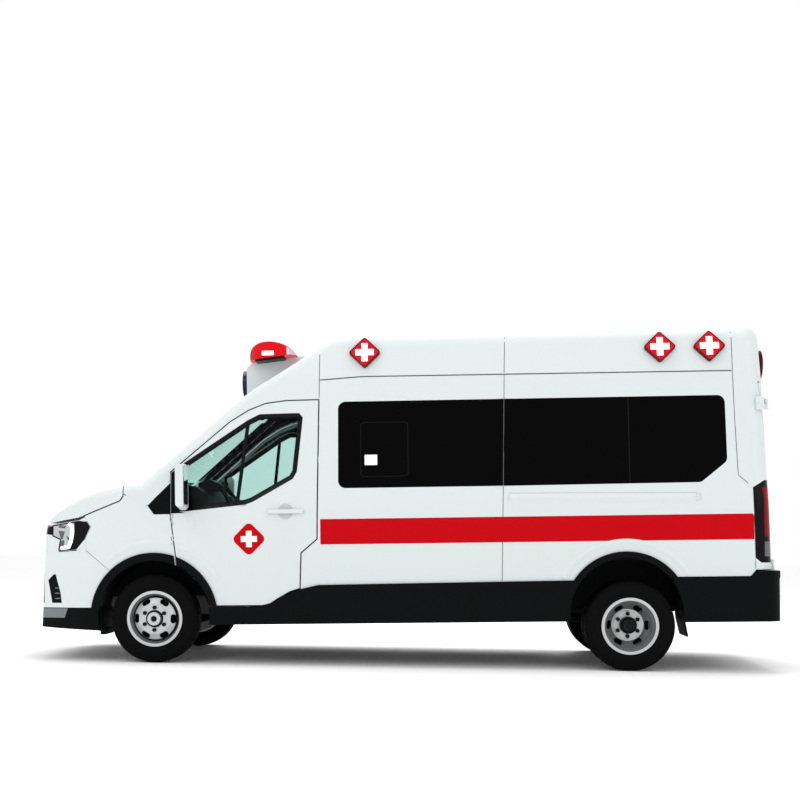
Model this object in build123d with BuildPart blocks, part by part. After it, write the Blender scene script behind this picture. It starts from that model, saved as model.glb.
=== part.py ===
import os
from math import atan, cos, degrees, radians, sin

from build123d import *

os.makedirs("parts", exist_ok=True)

# Stance, all lengths in millimetres
WHEELBASE = 3750.0
X_FA = -1939.36
X_RA = X_FA + WHEELBASE
RAKE = 1.4
TYRE_R = 350.0
TRACK_F = 868.0
TWIN_OUT = 900.0
TWIN_IN = 680.0
KINGPIN_Y = 800.0

# Body section and walls
HALF = 1000.0
BELT_Z = 1180.0
GUT_Z = 2253.0
GUT_Y = 880.0
ROOF_Z = 2650.0
SH_Y = 800.0
WALL = 60.0
SKIN = 20.0
CLAD = 15.0
NOSE_R = 60.0
DOME_X = 3000.0
REAR_R = 120.0
REAR_LOW_X = 4890.0
REAR_TOP_X = 4812.0

# A cut this far from the middle passes every wall
REACH = 1300.0

# Shut lines
GAP_IN = 4.0
GAP_OUT = 6.0

# Openings and seams, in the body frame (x from the front axle, z from the ground there)
ARCH_F = (10.0, 360.0)
ARCH_F_R = 451.0
FLARE_F_R = 515.0
ARCH_R = (3730.0, 355.0)
ARCH_R_R = 436.0
FLARE_R_R = 486.0
FLOOR_Z = 690.0
FLOOR_T = 50.0
SILL_Z = 300.0

# The body frame's three datum planes
PLAN = Plane(Location((X_FA, 0, 0), (0, -RAKE, 0)))
SIDE = Plane(origin=PLAN.origin, x_dir=PLAN.x_dir, z_dir=(0, -1, 0))
SECTION = Plane(origin=PLAN.origin, x_dir=(0, 1, 0), z_dir=PLAN.x_dir)
BODY = Location((X_FA, 0, 0), (0, -RAKE, 0))


def at_body(x, y, z):
    return PLAN.from_local_coords(Vector(x, y, z))


NOSE_PLANE = Plane(origin=(DOME_X, 0, 0), x_dir=(1, 0, 0), z_dir=(0, -1, 0))


def nose_profile(inset):
    # radius from the dome's upright axis, height
    with BuildSketch() as nose:
        with BuildLine():
            face = Polyline((0, -180), (4060, -180), (3985, 1040))
            lead = TangentArc(face @ 1, (3900, 1195), tangent=face % 1)
            TangentArc(lead @ 1, (3215, 1425), tangent=lead % 1)
            screen = Polyline((3215, 1425), (2360, 2167), (1810, 2520))
            crown = TangentArc(screen @ 1, (1200, 2680), tangent=screen % 1)
            Polyline(crown @ 1, (0, 2720), (0, -180))
        make_face()
        fillet(nose.vertices().filter_by(lambda v: abs(v.X - 2360) < 1), 900)
        if inset:
            offset(amount=-inset, kind=Kind.INTERSECTION, mode=Mode.REPLACE)
        with Locations((-500, 1300)):
            Rectangle(1000, 4000, mode=Mode.SUBTRACT)
    return nose.sketch_local


def nose_band(outer, inner):
    with BuildPart() as band:
        with BuildSketch(NOSE_PLANE):
            add(nose_profile(outer))
            add(nose_profile(inner), mode=Mode.SUBTRACT)
            with Locations((3200, 1250)):
                Rectangle(2400, 2100, mode=Mode.INTERSECT)
        revolve(axis=Axis((DOME_X, 0, 0), (0, 0, 1)), revolution_arc=360)
    return BODY * band.part


def form(inset, domed=True):
    with BuildPart() as hull:
        with BuildSketch(Plane.YZ.offset(-1300)) as sk:
            with BuildLine():
                left = Polyline((-HALF, -100), (-HALF, BELT_Z), (-GUT_Y, GUT_Z), (-SH_Y, ROOF_Z - 30))
                right = mirror(left, about=Plane.YZ)
                ThreePointArc(left @ 1, (0, ROOF_Z), right @ 1)
                Line(left @ 0, right @ 0)
            make_face()
            fillet(sk.vertices().filter_by(lambda v: abs(v.Y - BELT_Z) < 1), 1500)
            fillet(sk.vertices().filter_by(lambda v: abs(v.Y - GUT_Z) < 1), 600)
            fillet(sk.vertices().filter_by(lambda v: abs(v.Y - ROOF_Z + 30) < 1), 160)
            if inset:
                offset(amount=-inset, kind=Kind.INTERSECTION, mode=Mode.REPLACE)
        extrude(amount=6600)
        with BuildSketch(Plane.XZ):
            with BuildLine():
                Polyline(
                    (-2000, -300), (REAR_LOW_X - inset, -300), (REAR_TOP_X - inset, 2800), (-2000, 2800),
                    close=True,
                )
            make_face()
        extrude(amount=1500, both=True, mode=Mode.INTERSECT)
        tail = hull.faces().sort_by(Axis.X)[-1]
        fillet([e for e in tail.edges() if e.center().Z > 0], max(REAR_R - inset, 20))
        with BuildSketch(Plane.XY.offset(-200)):
            with BuildLine():
                taper = Polyline((6000, -1290), (300, -1000), (-400, -965))
                corner = TangentArc(taper @ 1, (-1100, -700), tangent=taper % 1)
                Polyline(corner @ 1, (-1100, 0), (6000, 0), (6000, -1290))
            make_face()
            mirror(about=Plane.XZ)
            if inset:
                offset(amount=-inset, kind=Kind.INTERSECTION, mode=Mode.REPLACE)
        extrude(amount=3200, mode=Mode.INTERSECT)
    if not domed:
        return BODY * hull.part
    with BuildPart() as dome:
        with BuildSketch(NOSE_PLANE):
            add(nose_profile(inset))
        revolve(axis=Axis((DOME_X, 0, 0), (0, 0, 1)), revolution_arc=360)
    with BuildPart() as tail_half:
        add(hull.part)
        with Locations((DOME_X - 500, 0, 0)):
            Box(4000, 3000, 8000, align=(Align.MIN, Align.CENTER, Align.CENTER), mode=Mode.INTERSECT)
    with BuildPart() as whole:
        add(hull.part)
        with Locations((DOME_X - 500, 0, 0)):
            Box(4000, 3000, 8000, align=(Align.MAX, Align.CENTER, Align.CENTER), mode=Mode.INTERSECT)
        add(dome.part, mode=Mode.INTERSECT)
        add(tail_half.part)
        if not inset:
            bent = [
                e
                for e in whole.edges()
                if e.center().X < 2000
                and abs(e.center().Y) > 380
                and e.length > 3
                and e.geom_type not in (GeomType.CIRCLE, GeomType.LINE)
            ]
            low = [e for e in bent if e.center().Z <= 1030]
            bonnet = [e for e in bent if 1030 < e.center().Z < 1430 and e.center().X < -60]
            pillar = [e for e in bent if e.center().Z > 1420 and e.center().X >= -150]
            fillet(low + bonnet + pillar, NOSE_R)
    return BODY * whole.part


def outline(points, radius=0.0, square=None):
    # corners near the upright line x = square stay sharp
    with BuildSketch(SIDE) as sk:
        with BuildLine():
            Polyline(*points, close=True)
        make_face()
        if radius:
            spots = [PLAN.to_local_coords(v.center()) for v in sk.vertices()]
            soft = [v for v, p in zip(sk.vertices(), spots) if square is None or abs(p.X - square) > 60]
            fillet(soft, radius)
    return sk.sketch_local


def grown(region, amount):
    with BuildSketch() as sk:
        add(region)
        offset(amount=amount, kind=Kind.INTERSECTION, mode=Mode.REPLACE)
    return sk.sketch_local


def side_cut(region, near=0.0, far=REACH, mode=Mode.INTERSECT):
    with BuildSketch(SIDE.offset(near)) as sk:
        add(region)
    extrude(sk.sketch, amount=far - near, mode=mode)


def front_cut(region, start=-1400.0, end=-400.0, mode=Mode.INTERSECT):
    with BuildSketch(SECTION.offset(start)) as sk:
        add(region)
    extrude(sk.sketch, amount=end - start, mode=mode)


OUTER = form(0)
INNER = form(WALL)
CASE = form(-CLAD, False)
REBATE = form(SKIN, False)
RECESS = form(8, False)
FLUSH = form(2, False)
PANE_OUT = form(12, False)
PANE_IN = form(17, False)
LAMP_BACK = form(35, False)

with BuildPart() as shell:
    add(OUTER)
    add(INNER, mode=Mode.SUBTRACT)
SHELL = shell.part
with BuildPart() as case:
    add(CASE)
    add(OUTER, mode=Mode.SUBTRACT)
CLADDING = case.part

# Side-view regions
with BuildSketch() as door_line:
    with BuildLine():
        edge = Polyline(
            (454, 450), (880, 448), (940, 462), (1000, 500), (1100, 556), (1179, 580), (1190, 859),
            (1318, 968), (1335, 2074), (1079, 2072), (908, 2051), (773, 1998), (626, 1909), (152, 1512),
            (152, 1178), (190, 860), (200, 772),
        )
        ThreePointArc(edge @ 1, (335, 677), edge @ 0)
    make_face()
DOOR = door_line.sketch_local
DOOR_IN = grown(DOOR, -GAP_IN)
DOOR_CORE = grown(DOOR, -GAP_IN - 15)
DOOR_OUT = grown(DOOR, GAP_OUT)
DOOR_WINDOW = outline(
    ((232, 1196), (750, 1246), (812, 1268), (1130, 1446), (1160, 1503), (1207, 1936), (1180, 1968),
     (862, 1964), (766, 1917), (236, 1566)),
    14,
)
HOOD_IN = outline(
    ((-1200, 1116), (-843, 1126), (-598, 1164), (-259, 1295), (-234, 1330), (-234, 1700), (-1200, 1700))
)
HOOD_OUT = outline(
    ((-1200, 1106), (-843, 1116), (-596, 1154), (-253, 1286), (-224, 1326), (-224, 1700), (-1200, 1700))
)
LAMP_IN = outline(
    ((-1200, 1100), (-843, 1110), (-600, 1142), (-528, 1130), (-500, 1086), (-550, 985), (-622, 903),
     (-805, 894), (-1200, 880)),
)
LAMP_OUT = grown(LAMP_IN, 3)
with BuildSketch() as arch_front:
    with Locations(ARCH_F):
        Circle(ARCH_F_R)
with BuildSketch() as arch_rear:
    with Locations(ARCH_R):
        Circle(ARCH_R_R)
with BuildSketch() as flare_front:
    with Locations(ARCH_F):
        Circle(FLARE_F_R)
        Circle(ARCH_F_R, mode=Mode.SUBTRACT)
    with Locations((ARCH_F[0], 0)):
        Rectangle(1400, 2 * SILL_Z, mode=Mode.SUBTRACT)
with BuildSketch() as flare_rear:
    with Locations(ARCH_R):
        Circle(FLARE_R_R)
        Circle(ARCH_R_R, mode=Mode.SUBTRACT)
    with Locations((ARCH_R[0], 0)):
        Rectangle(1400, 2 * SILL_Z, mode=Mode.SUBTRACT)

# Front end; the hood turns on two pins that the cowl's ears hold
HOOD_PIVOT = (-236.0, 1412.0)
HOOD_HINGE_Y = 250.0
HOOD_PIN_R = 5.0
EYE_R = 9.0
PIN_PLAY = 0.2
with BuildPart() as hood:
    add(SHELL)
    side_cut(HOOD_IN, -REACH, REACH, Mode.INTERSECT)
    for near in (1, -1):
        with BuildSketch(SIDE.offset(near * HOOD_HINGE_Y - 40)):
            with Locations(HOOD_PIVOT):
                Circle(EYE_R + 6)
        extrude(amount=80, mode=Mode.SUBTRACT)
        with BuildSketch(SIDE.offset(near * HOOD_HINGE_Y - 12)):
            with Locations(HOOD_PIVOT):
                Circle(EYE_R)
                Rectangle(30, 12, align=(Align.MAX, Align.CENTER))
        extrude(amount=24)
        with BuildSketch(SIDE.offset(near * HOOD_HINGE_Y - 12)):
            with Locations(HOOD_PIVOT):
                Circle(HOOD_PIN_R + PIN_PLAY)
        extrude(amount=24, mode=Mode.SUBTRACT)
hood.part.label = "hood"
export_step(hood.part, "parts/hood.step")

DOOR_PIVOT = (166.0, -988.0)
DOOR_HINGES = (985.0, 1135.0)
DOOR_PIN_R = 3.0
DOOR_EYE_R = 5.0
DOOR_NOTCH_R = 12.0

with BuildPart() as fender:
    add(SHELL)
    side_cut(
        outline(
            ((-296, 694), (-545, 906), (-545, 1200), (-253, 1400), (-224, 1338), (-30, 1246), (19, 1178),
             (170, 1178), (230, 700)),
        ),
        mode=Mode.INTERSECT,
    )
    side_cut(HOOD_OUT, mode=Mode.SUBTRACT)
    side_cut(LAMP_OUT, mode=Mode.SUBTRACT)
    side_cut(DOOR_OUT, mode=Mode.SUBTRACT)
    side_cut(arch_front.sketch_local, mode=Mode.SUBTRACT)
    for level in DOOR_HINGES:
        with BuildSketch(PLAN.offset(level - 40)):
            with Locations(DOOR_PIVOT):
                Circle(DOOR_NOTCH_R)
        extrude(amount=80, mode=Mode.SUBTRACT)
        for ear_start in (-38, 16):
            with BuildSketch(PLAN.offset(level + ear_start)):
                with Locations(DOOR_PIVOT):
                    Circle(DOOR_EYE_R)
                    Rectangle(30, 2 * DOOR_EYE_R, align=(Align.MAX, Align.CENTER))
            extrude(amount=22)
        with BuildSketch(PLAN.offset(level - 38)):
            with Locations(DOOR_PIVOT):
                Circle(DOOR_PIN_R)
        extrude(amount=76)
with BuildPart() as fenders:
    add(fender.part)
    mirror(about=Plane.XZ)
fenders.part.label = "fenders"
export_step(fenders.part, "parts/fenders.step")

GRILLE_HOLE = outline(((-520, 735), (520, 735), (580, 1075), (-580, 1075)), 40)
INTAKE_HOLE = outline(((-470, 500), (470, 500), (520, 640), (-520, 640)), 30)
FOG_HOLE = outline(((-1100, 480), (-758, 480), (-768, 560), (-812, 712), (-1100, 640)))
with BuildPart() as front_bumper:
    add(SHELL)
    side_cut(
        outline(
            ((-1300, 443), (-380, 443), (-296, 691), (-548, 903), (-622, 897), (-805, 888), (-850, 886),
             (-850, 1106), (-1300, 1100)),
        ),
        -REACH,
        REACH,
        Mode.INTERSECT,
    )
    side_cut(arch_front.sketch_local, -REACH, REACH, Mode.SUBTRACT)
    for near in (1, -1):
        side_cut(LAMP_OUT, near * 590, near * REACH, Mode.SUBTRACT)
        side_cut(FOG_HOLE, near * 720, near * REACH, Mode.SUBTRACT)
    front_cut(GRILLE_HOLE, mode=Mode.SUBTRACT)
    front_cut(INTAKE_HOLE, mode=Mode.SUBTRACT)
    side_cut(HOOD_OUT, -REACH, REACH, Mode.SUBTRACT)
front_bumper.part.label = "front_bumper"
export_step(front_bumper.part, "parts/front_bumper.step")

SKID = outline(((-1300, 361), (-735, 361), (-705, 437), (-1300, 437)))
with BuildPart() as lower_bumper:
    add(SHELL)
    side_cut(SKID, -REACH, REACH, Mode.SUBTRACT)
    side_cut(
        outline(((-1300, 305), (-1000, 290), (-818, 279), (-380, 256), (-380, 443), (-1300, 443))),
        -REACH,
        REACH,
        Mode.INTERSECT,
    )
    side_cut(arch_front.sketch_local, -REACH, REACH, Mode.SUBTRACT)
with BuildPart() as fog:
    add(SHELL)
    side_cut(FOG_HOLE, 720)
with BuildPart() as bumper_black:
    add(lower_bumper.part)
    add(fog.part)
    add(fog.part.mirror(Plane.XZ))
bumper_black.part.label = "lower_bumper"
export_step(bumper_black.part, "parts/lower_bumper.step")

with BuildPart() as skid_trim:
    add(SHELL)
    side_cut(SKID, -REACH, REACH)
skid_trim.part.label = "skid_trim"
export_step(skid_trim.part, "parts/skid_trim.step")

# Radiator grille: a back plate with level bars, and the lower intake behind its own bars
BAR_ROWS = (
    # level, bar height
    (800, 26), (875, 26), (950, 26), (1025, 26), (548, 16), (596, 16),
)
with BuildPart() as grille:
    add(nose_band(35, WALL))
    front_cut([GRILLE_HOLE, INTAKE_HOLE])
with BuildPart() as bars:
    add(nose_band(0, 36))
    with BuildSketch(SECTION.offset(-1400)):
        for level, bar_height in BAR_ROWS:
            with Locations((0, level)):
                Rectangle(1200, bar_height)
    extrude(amount=1000, mode=Mode.INTERSECT)
    front_cut([GRILLE_HOLE, INTAKE_HOLE])
with BuildPart() as grille_all:
    add(grille.part)
    add(bars.part)
grille_all.part.label = "grille"
export_step(grille_all.part, "parts/grille.step")

with BuildPart() as headlamp:
    add(SHELL)
    side_cut(LAMP_IN, 590)
with BuildPart() as headlamps:
    add(headlamp.part)
    mirror(about=Plane.XZ)
headlamps.part.label = "headlamps"
export_step(headlamps.part, "parts/headlamps.step")

# Cab frame: front pillars, header and the fairing up to the roof seam
SCREEN_HOLE = outline(((-835, 1462), (835, 1462), (772, 2120), (-772, 2120)), 70)
COWL = outline(((-224, 1300), (60, 1300), (60, 1458), (-224, 1458)))
CORNER_TRIM = outline(((-30, 1250), (19, 1182), (150, 1182), (150, 1426)))
with BuildPart() as cowl_mid:
    add(SHELL)
    side_cut(COWL, -840, 840)
with BuildPart() as cowl_side:
    add(SHELL)
    side_cut(CORNER_TRIM, mode=Mode.INTERSECT)
    side_cut(DOOR_OUT, mode=Mode.SUBTRACT)
with BuildPart() as cowl:
    add(cowl_mid.part)
    add(cowl_side.part)
    add(cowl_side.part.mirror(Plane.XZ))
    for near in (1, -1):
        for ear_start in (-36, 14):
            with BuildSketch(SIDE.offset(near * HOOD_HINGE_Y + ear_start)):
                with Locations(HOOD_PIVOT):
                    Circle(EYE_R)
                    Rectangle(24, 12, align=(Align.MIN, Align.CENTER))
            extrude(amount=22)
        with BuildSketch(SIDE.offset(near * HOOD_HINGE_Y - 36)):
            with Locations(HOOD_PIVOT):
                Circle(HOOD_PIN_R)
        extrude(amount=72)
cowl.part.label = "cowl"
export_step(cowl.part, "parts/cowl.step")

with BuildPart() as cab_frame:
    add(SHELL)
    side_cut(
        outline(
            ((-224, 1345), (-30, 1250), (150, 1426), (1300, 1430), (1300, 1900), (1335, 2085), (1337, 2253),
             (1342, 2900), (-224, 2900)),
        ),
        -REACH,
        REACH,
        Mode.INTERSECT,
    )
    side_cut(DOOR_OUT, -REACH, REACH, Mode.SUBTRACT)
    side_cut(COWL, -840, 840, Mode.SUBTRACT)
    front_cut(SCREEN_HOLE, end=900, mode=Mode.SUBTRACT)
cab_frame.part.label = "cab_frame"
export_step(cab_frame.part, "parts/cab_frame.step")

with BuildPart() as windshield:
    add(nose_band(6, 14))
    front_cut(SCREEN_HOLE, end=900)
windshield.part.label = "windshield"
export_step(windshield.part, "parts/windshield.step")

# Body sides: front and rear panels each side, split at the middle seam
MID_X = 2793.0
WINDOW_FRONT = outline(((1488, 1365), (2782, 1365), (2798, 2055), (1488, 2055)), 60, MID_X)
WINDOW_REAR = outline(((2788, 1365), (4318, 1372), (4524, 1536), (4520, 2055), (2804, 2055)), 60, MID_X)
HOLE_FRONT = outline(((1540, 1415), (2690, 1415), (2705, 2005), (1540, 2005)), 50)
HOLE_REAR = outline(((2890, 1415), (4300, 1420), (4470, 1555), (4466, 2005), (2905, 2005)), 50)
PANEL_FRONT = outline(
    ((1337, 2253), (2806, 2253), (2763, 446), (1130, 446), (1130, 870), (1250, 980), (1300, 1430),
     (1300, 1900), (1335, 2085))
)
PANEL_REAR = outline(
    ((2763, 446), (2806, 2253), (4587, 2253), (4592, 1839), (4604, 1424), (4712, 1327), (4722, 780),
     (4722, 682), (4686, 640), (4000, 640), (4000, 446))
)
with BuildPart() as panel_front:
    add(SHELL)
    side_cut(PANEL_FRONT, mode=Mode.INTERSECT)
    side_cut(DOOR_OUT, mode=Mode.SUBTRACT)
    side_cut(outline(((800, 440), (1000, 494), (1100, 550), (1179, 574), (1179, 446))), mode=Mode.SUBTRACT)
    side_cut(HOLE_FRONT, mode=Mode.SUBTRACT)
with BuildPart() as pane_seat_front:
    add(OUTER)
    add(RECESS, mode=Mode.SUBTRACT)
    side_cut(WINDOW_FRONT, mode=Mode.INTERSECT)
with BuildPart() as side_front:
    add(panel_front.part)
    add(pane_seat_front.part, mode=Mode.SUBTRACT)
side_front.part.label = "side_panel_left_front"
export_step(side_front.part, "parts/side_panel_left_front.step")
with BuildPart() as sliding_door:
    add(side_front.part.mirror(Plane.XZ))
sliding_door.part.label = "sliding_door_right"
export_step(sliding_door.part, "parts/sliding_door_right.step")

with BuildPart() as panel_rear:
    add(SHELL)
    side_cut(PANEL_REAR, mode=Mode.INTERSECT)
    side_cut(arch_rear.sketch_local, mode=Mode.SUBTRACT)
    side_cut(HOLE_REAR, mode=Mode.SUBTRACT)
with BuildPart() as pane_seat_rear:
    add(OUTER)
    add(RECESS, mode=Mode.SUBTRACT)
    side_cut(WINDOW_REAR, mode=Mode.INTERSECT)
with BuildPart() as side_rear:
    add(panel_rear.part)
    add(pane_seat_rear.part, mode=Mode.SUBTRACT)
side_rear.part.label = "side_panel_left_rear"
export_step(side_rear.part, "parts/side_panel_left_rear.step")
with BuildPart() as side_rear_right:
    add(side_rear.part.mirror(Plane.XZ))
side_rear_right.part.label = "side_panel_right_rear"
export_step(side_rear_right.part, "parts/side_panel_right_rear.step")

with BuildPart() as panes:
    add(FLUSH)
    add(RECESS, mode=Mode.SUBTRACT)
    side_cut(WINDOW_FRONT, mode=Mode.INTERSECT)
with BuildPart() as panes_rear:
    add(FLUSH)
    add(RECESS, mode=Mode.SUBTRACT)
    side_cut(WINDOW_REAR, mode=Mode.INTERSECT)
with BuildPart() as side_glass:
    add(panes.part)
    add(panes_rear.part)
    mirror(about=Plane.XZ)
side_glass.part.label = "side_glass"
export_step(side_glass.part, "parts/side_glass.step")

# Roof and the rear frame
with BuildPart() as roof_panel:
    add(SHELL)
    side_cut(
        outline(((1337, 2253), (4587, 2253), (4594, 2900), (1342, 2900))),
        -REACH,
        REACH,
        Mode.INTERSECT,
    )
roof_panel.part.label = "roof_panel"
export_step(roof_panel.part, "parts/roof_panel.step")

REAR_DOOR_Y = 855.0
REAR_DOOR_Z = (702.0, 2150.0)
REAR_HINGES = (722.0, 1980.0)
REAR_HINGE_Y = 878.0
REAR_EYE_R = 14.0
REAR_PIN_R = 6.0
REAR_LEAN = (REAR_LOW_X - REAR_TOP_X) / 3100.0


def hinge_spot(level, near, lift=-3.0):
    spot = at_body(REAR_LOW_X - (level + 300 + lift) * REAR_LEAN + 15, -near * REAR_HINGE_Y, level + lift)
    return Location(spot, (0, -RAKE - degrees(atan(REAR_LEAN)), 0))


TAIL_LAMP = outline(
    ((4712, 1327), (4808, 1383), (5100, 1383), (5100, 742), (4767, 742), (4722, 780))
)
with BuildPart() as tail_lamp:
    add(OUTER)
    add(LAMP_BACK, mode=Mode.SUBTRACT)
    side_cut(TAIL_LAMP, REAR_DOOR_Y + 10)
    with Locations(hinge_spot(REAR_HINGES[0], 1, 3.0)):
        Box(90, 60, 46, align=(Align.CENTER, Align.CENTER, Align.MIN), mode=Mode.SUBTRACT)
with BuildPart() as tail_lamps:
    add(tail_lamp.part)
    mirror(about=Plane.XZ)
tail_lamps.part.label = "tail_lamps"
export_step(tail_lamps.part, "parts/tail_lamps.step")

with BuildPart() as rear_frame:
    add(SHELL)
    side_cut(
        outline(
            ((4722, 690), (4722, 780), (4712, 1327), (4604, 1424), (4592, 1839), (4587, 2253), (4594, 2900),
             (5100, 2900), (5100, 690)),
        ),
        -REACH,
        REACH,
        Mode.INTERSECT,
    )
    with BuildSketch(SECTION.offset(4500)):
        with Locations((0, (REAR_DOOR_Z[0] + REAR_DOOR_Z[1]) / 2)):
            Rectangle(2 * REAR_DOOR_Y + 20, REAR_DOOR_Z[1] - REAR_DOOR_Z[0] + 24)
    extrude(amount=700, mode=Mode.SUBTRACT)
    add(tail_lamps.part, mode=Mode.SUBTRACT)
    for level in REAR_HINGES:
        for near in (1, -1):
            with Locations(hinge_spot(level, near)):
                Cylinder(REAR_EYE_R, 39, align=(Align.CENTER, Align.CENTER, Align.MAX))
                Box(70, 28, 39, align=(Align.MAX, Align.CENTER, Align.MAX))
                Cylinder(REAR_PIN_R, 45, align=(Align.CENTER, Align.CENTER, Align.MIN))
rear_frame.part.label = "rear_frame"
export_step(rear_frame.part, "parts/rear_frame.step")

with BuildPart() as rear_bumper:
    with BuildSketch(PLAN.offset(286)):
        with Locations((4510, 0)):
            RectangleRounded(830, 2030, 110)
        with Locations((4300, 0)):
            Rectangle(420, 2030)
        with Locations((4380, 0)):
            Rectangle(960, 1910, mode=Mode.SUBTRACT)
    extrude(amount=392)
    side_cut(
        outline(((4090, 634), (4684, 628), (4728, 678), (5000, 678), (5000, 900), (4000, 900))),
        -REACH,
        REACH,
        Mode.SUBTRACT,
    )
    side_cut(arch_rear.sketch_local, -REACH, REACH, Mode.SUBTRACT)
    with BuildSketch(PLAN.offset(620)):
        with Locations((4840, 0)):
            Rectangle(160, 1910)
    extrude(amount=58)
rear_bumper.part.label = "rear_bumper"
export_step(rear_bumper.part, "parts/rear_bumper.step")

# Cladding: sills, side skins and the arch flares that stay with the body
with BuildPart() as sill:
    add(CASE)
    add(INNER, mode=Mode.SUBTRACT)
    side_cut(
        outline(
            ((380, SILL_Z), (380, 440), (880, 440), (960, 470), (1000, 494), (1100, 550), (1179, 574),
             (1179, 440), (3400, 440), (3400, SILL_Z)),
        ),
        mode=Mode.INTERSECT,
    )
    side_cut(DOOR_OUT, mode=Mode.SUBTRACT)
    side_cut(arch_front.sketch_local, mode=Mode.SUBTRACT)
    side_cut(arch_rear.sketch_local, mode=Mode.SUBTRACT)
with BuildPart() as side_skin:
    add(CLADDING)
    side_cut(
        outline(((1179, 440), (1179, 574), (1325, 606), (3214, 620), (3400, 620), (3400, 440))),
        mode=Mode.INTERSECT,
    )
    side_cut(DOOR_OUT, mode=Mode.SUBTRACT)
    side_cut(arch_rear.sketch_local, mode=Mode.SUBTRACT)
with BuildPart() as flares:
    add(CLADDING)
    side_cut([flare_front.sketch_local, flare_rear.sketch_local])
    side_cut(grown(DOOR, 14), mode=Mode.SUBTRACT)
    side_cut(outline(((4080, 200), (4080, 634), (4400, 634), (4400, 200))), mode=Mode.SUBTRACT)
with BuildPart() as cladding_left:
    add(sill.part)
    add(side_skin.part)
    add(flares.part)
cladding_left.part.label = "cladding_left"
export_step(cladding_left.part, "parts/cladding_left.step")
with BuildPart() as cladding_right:
    add(cladding_left.part.mirror(Plane.XZ))
cladding_right.part.label = "cladding_right"
export_step(cladding_right.part, "parts/cladding_right.step")

# Front doors
with BuildPart() as door_skin:
    add(OUTER)
    add(REBATE, mode=Mode.SUBTRACT)
    side_cut(DOOR_IN, mode=Mode.INTERSECT)
with BuildPart() as door_core:
    add(OUTER)
    add(REBATE, mode=Mode.INTERSECT)
    add(INNER, mode=Mode.SUBTRACT)
    side_cut(DOOR_CORE, mode=Mode.INTERSECT)
with BuildPart() as door_left:
    add(door_skin.part)
    add(door_core.part)
    side_cut(DOOR_WINDOW, mode=Mode.SUBTRACT)
    for level in DOOR_HINGES:
        with BuildSketch(PLAN.offset(level - 43)):
            with Locations(DOOR_PIVOT):
                Circle(DOOR_NOTCH_R)
        extrude(amount=86, mode=Mode.SUBTRACT)
        with BuildSketch(PLAN.offset(level - 14)):
            with Locations(DOOR_PIVOT):
                Circle(DOOR_EYE_R)
                Rectangle(30, 2 * DOOR_EYE_R, align=(Align.MIN, Align.CENTER))
                Circle(DOOR_PIN_R + PIN_PLAY, mode=Mode.SUBTRACT)
        extrude(amount=28)
door_left.part.label = "door_left"
export_step(door_left.part, "parts/door_left.step")
with BuildPart() as door_right:
    add(door_left.part.mirror(Plane.XZ))
door_right.part.label = "door_right"
export_step(door_right.part, "parts/door_right.step")

with BuildPart() as door_glass_left:
    add(PANE_OUT)
    add(PANE_IN, mode=Mode.SUBTRACT)
    side_cut(DOOR_WINDOW, mode=Mode.INTERSECT)
door_glass_left.part.label = "door_glass_left"
export_step(door_glass_left.part, "parts/door_glass_left.step")
with BuildPart() as door_glass_right:
    add(door_glass_left.part.mirror(Plane.XZ))
door_glass_right.part.label = "door_glass_right"
export_step(door_glass_right.part, "parts/door_glass_right.step")

MIRROR = (275.0, 1390.0)
MIRROR_END = 1250.0
with BuildPart() as mirror_head:
    with BuildSketch(SIDE.offset(1040)):
        with Locations((MIRROR[0] - 8, MIRROR[1])):
            RectangleRounded(84, 366, 36)
    with BuildSketch(SIDE.offset(MIRROR_END)):
        with Locations((MIRROR[0] + 6, MIRROR[1] + 2)):
            RectangleRounded(62, 330, 28)
    loft()
with BuildPart() as mirror_arm:
    with BuildSketch(SIDE.offset(960)):
        with Locations((245, 1300)):
            RectangleRounded(70, 150, 20)
    with BuildSketch(SIDE.offset(1062)):
        with Locations((266, 1320)):
            RectangleRounded(50, 120, 20)
    loft()
    add(OUTER, mode=Mode.SUBTRACT)
with BuildPart() as mirror_foot:
    add(CLADDING)
    side_cut(outline(((170, 1196), (300, 1206), (300, 1420), (170, 1420)), 12), mode=Mode.INTERSECT)
with BuildPart() as door_flare:
    add(CLADDING)
    side_cut(flare_front.sketch_local, mode=Mode.INTERSECT)
    side_cut(DOOR_IN, mode=Mode.INTERSECT)
mirror_head.part.label = "mirror_left"
export_step(mirror_head.part, "parts/mirror_left.step")
with BuildPart() as mirror_right:
    add(mirror_head.part.mirror(Plane.XZ))
mirror_right.part.label = "mirror_right"
export_step(mirror_right.part, "parts/mirror_right.step")
with BuildPart() as door_trim_left:
    add(mirror_arm.part)
    add(mirror_foot.part)
    add(mirror_head.part, mode=Mode.SUBTRACT)
    add(door_flare.part)
door_trim_left.part.label = "door_trim_left"
export_step(door_trim_left.part, "parts/door_trim_left.step")
with BuildPart() as door_trim_right:
    add(door_trim_left.part.mirror(Plane.XZ))
door_trim_right.part.label = "door_trim_right"
export_step(door_trim_right.part, "parts/door_trim_right.step")

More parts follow.
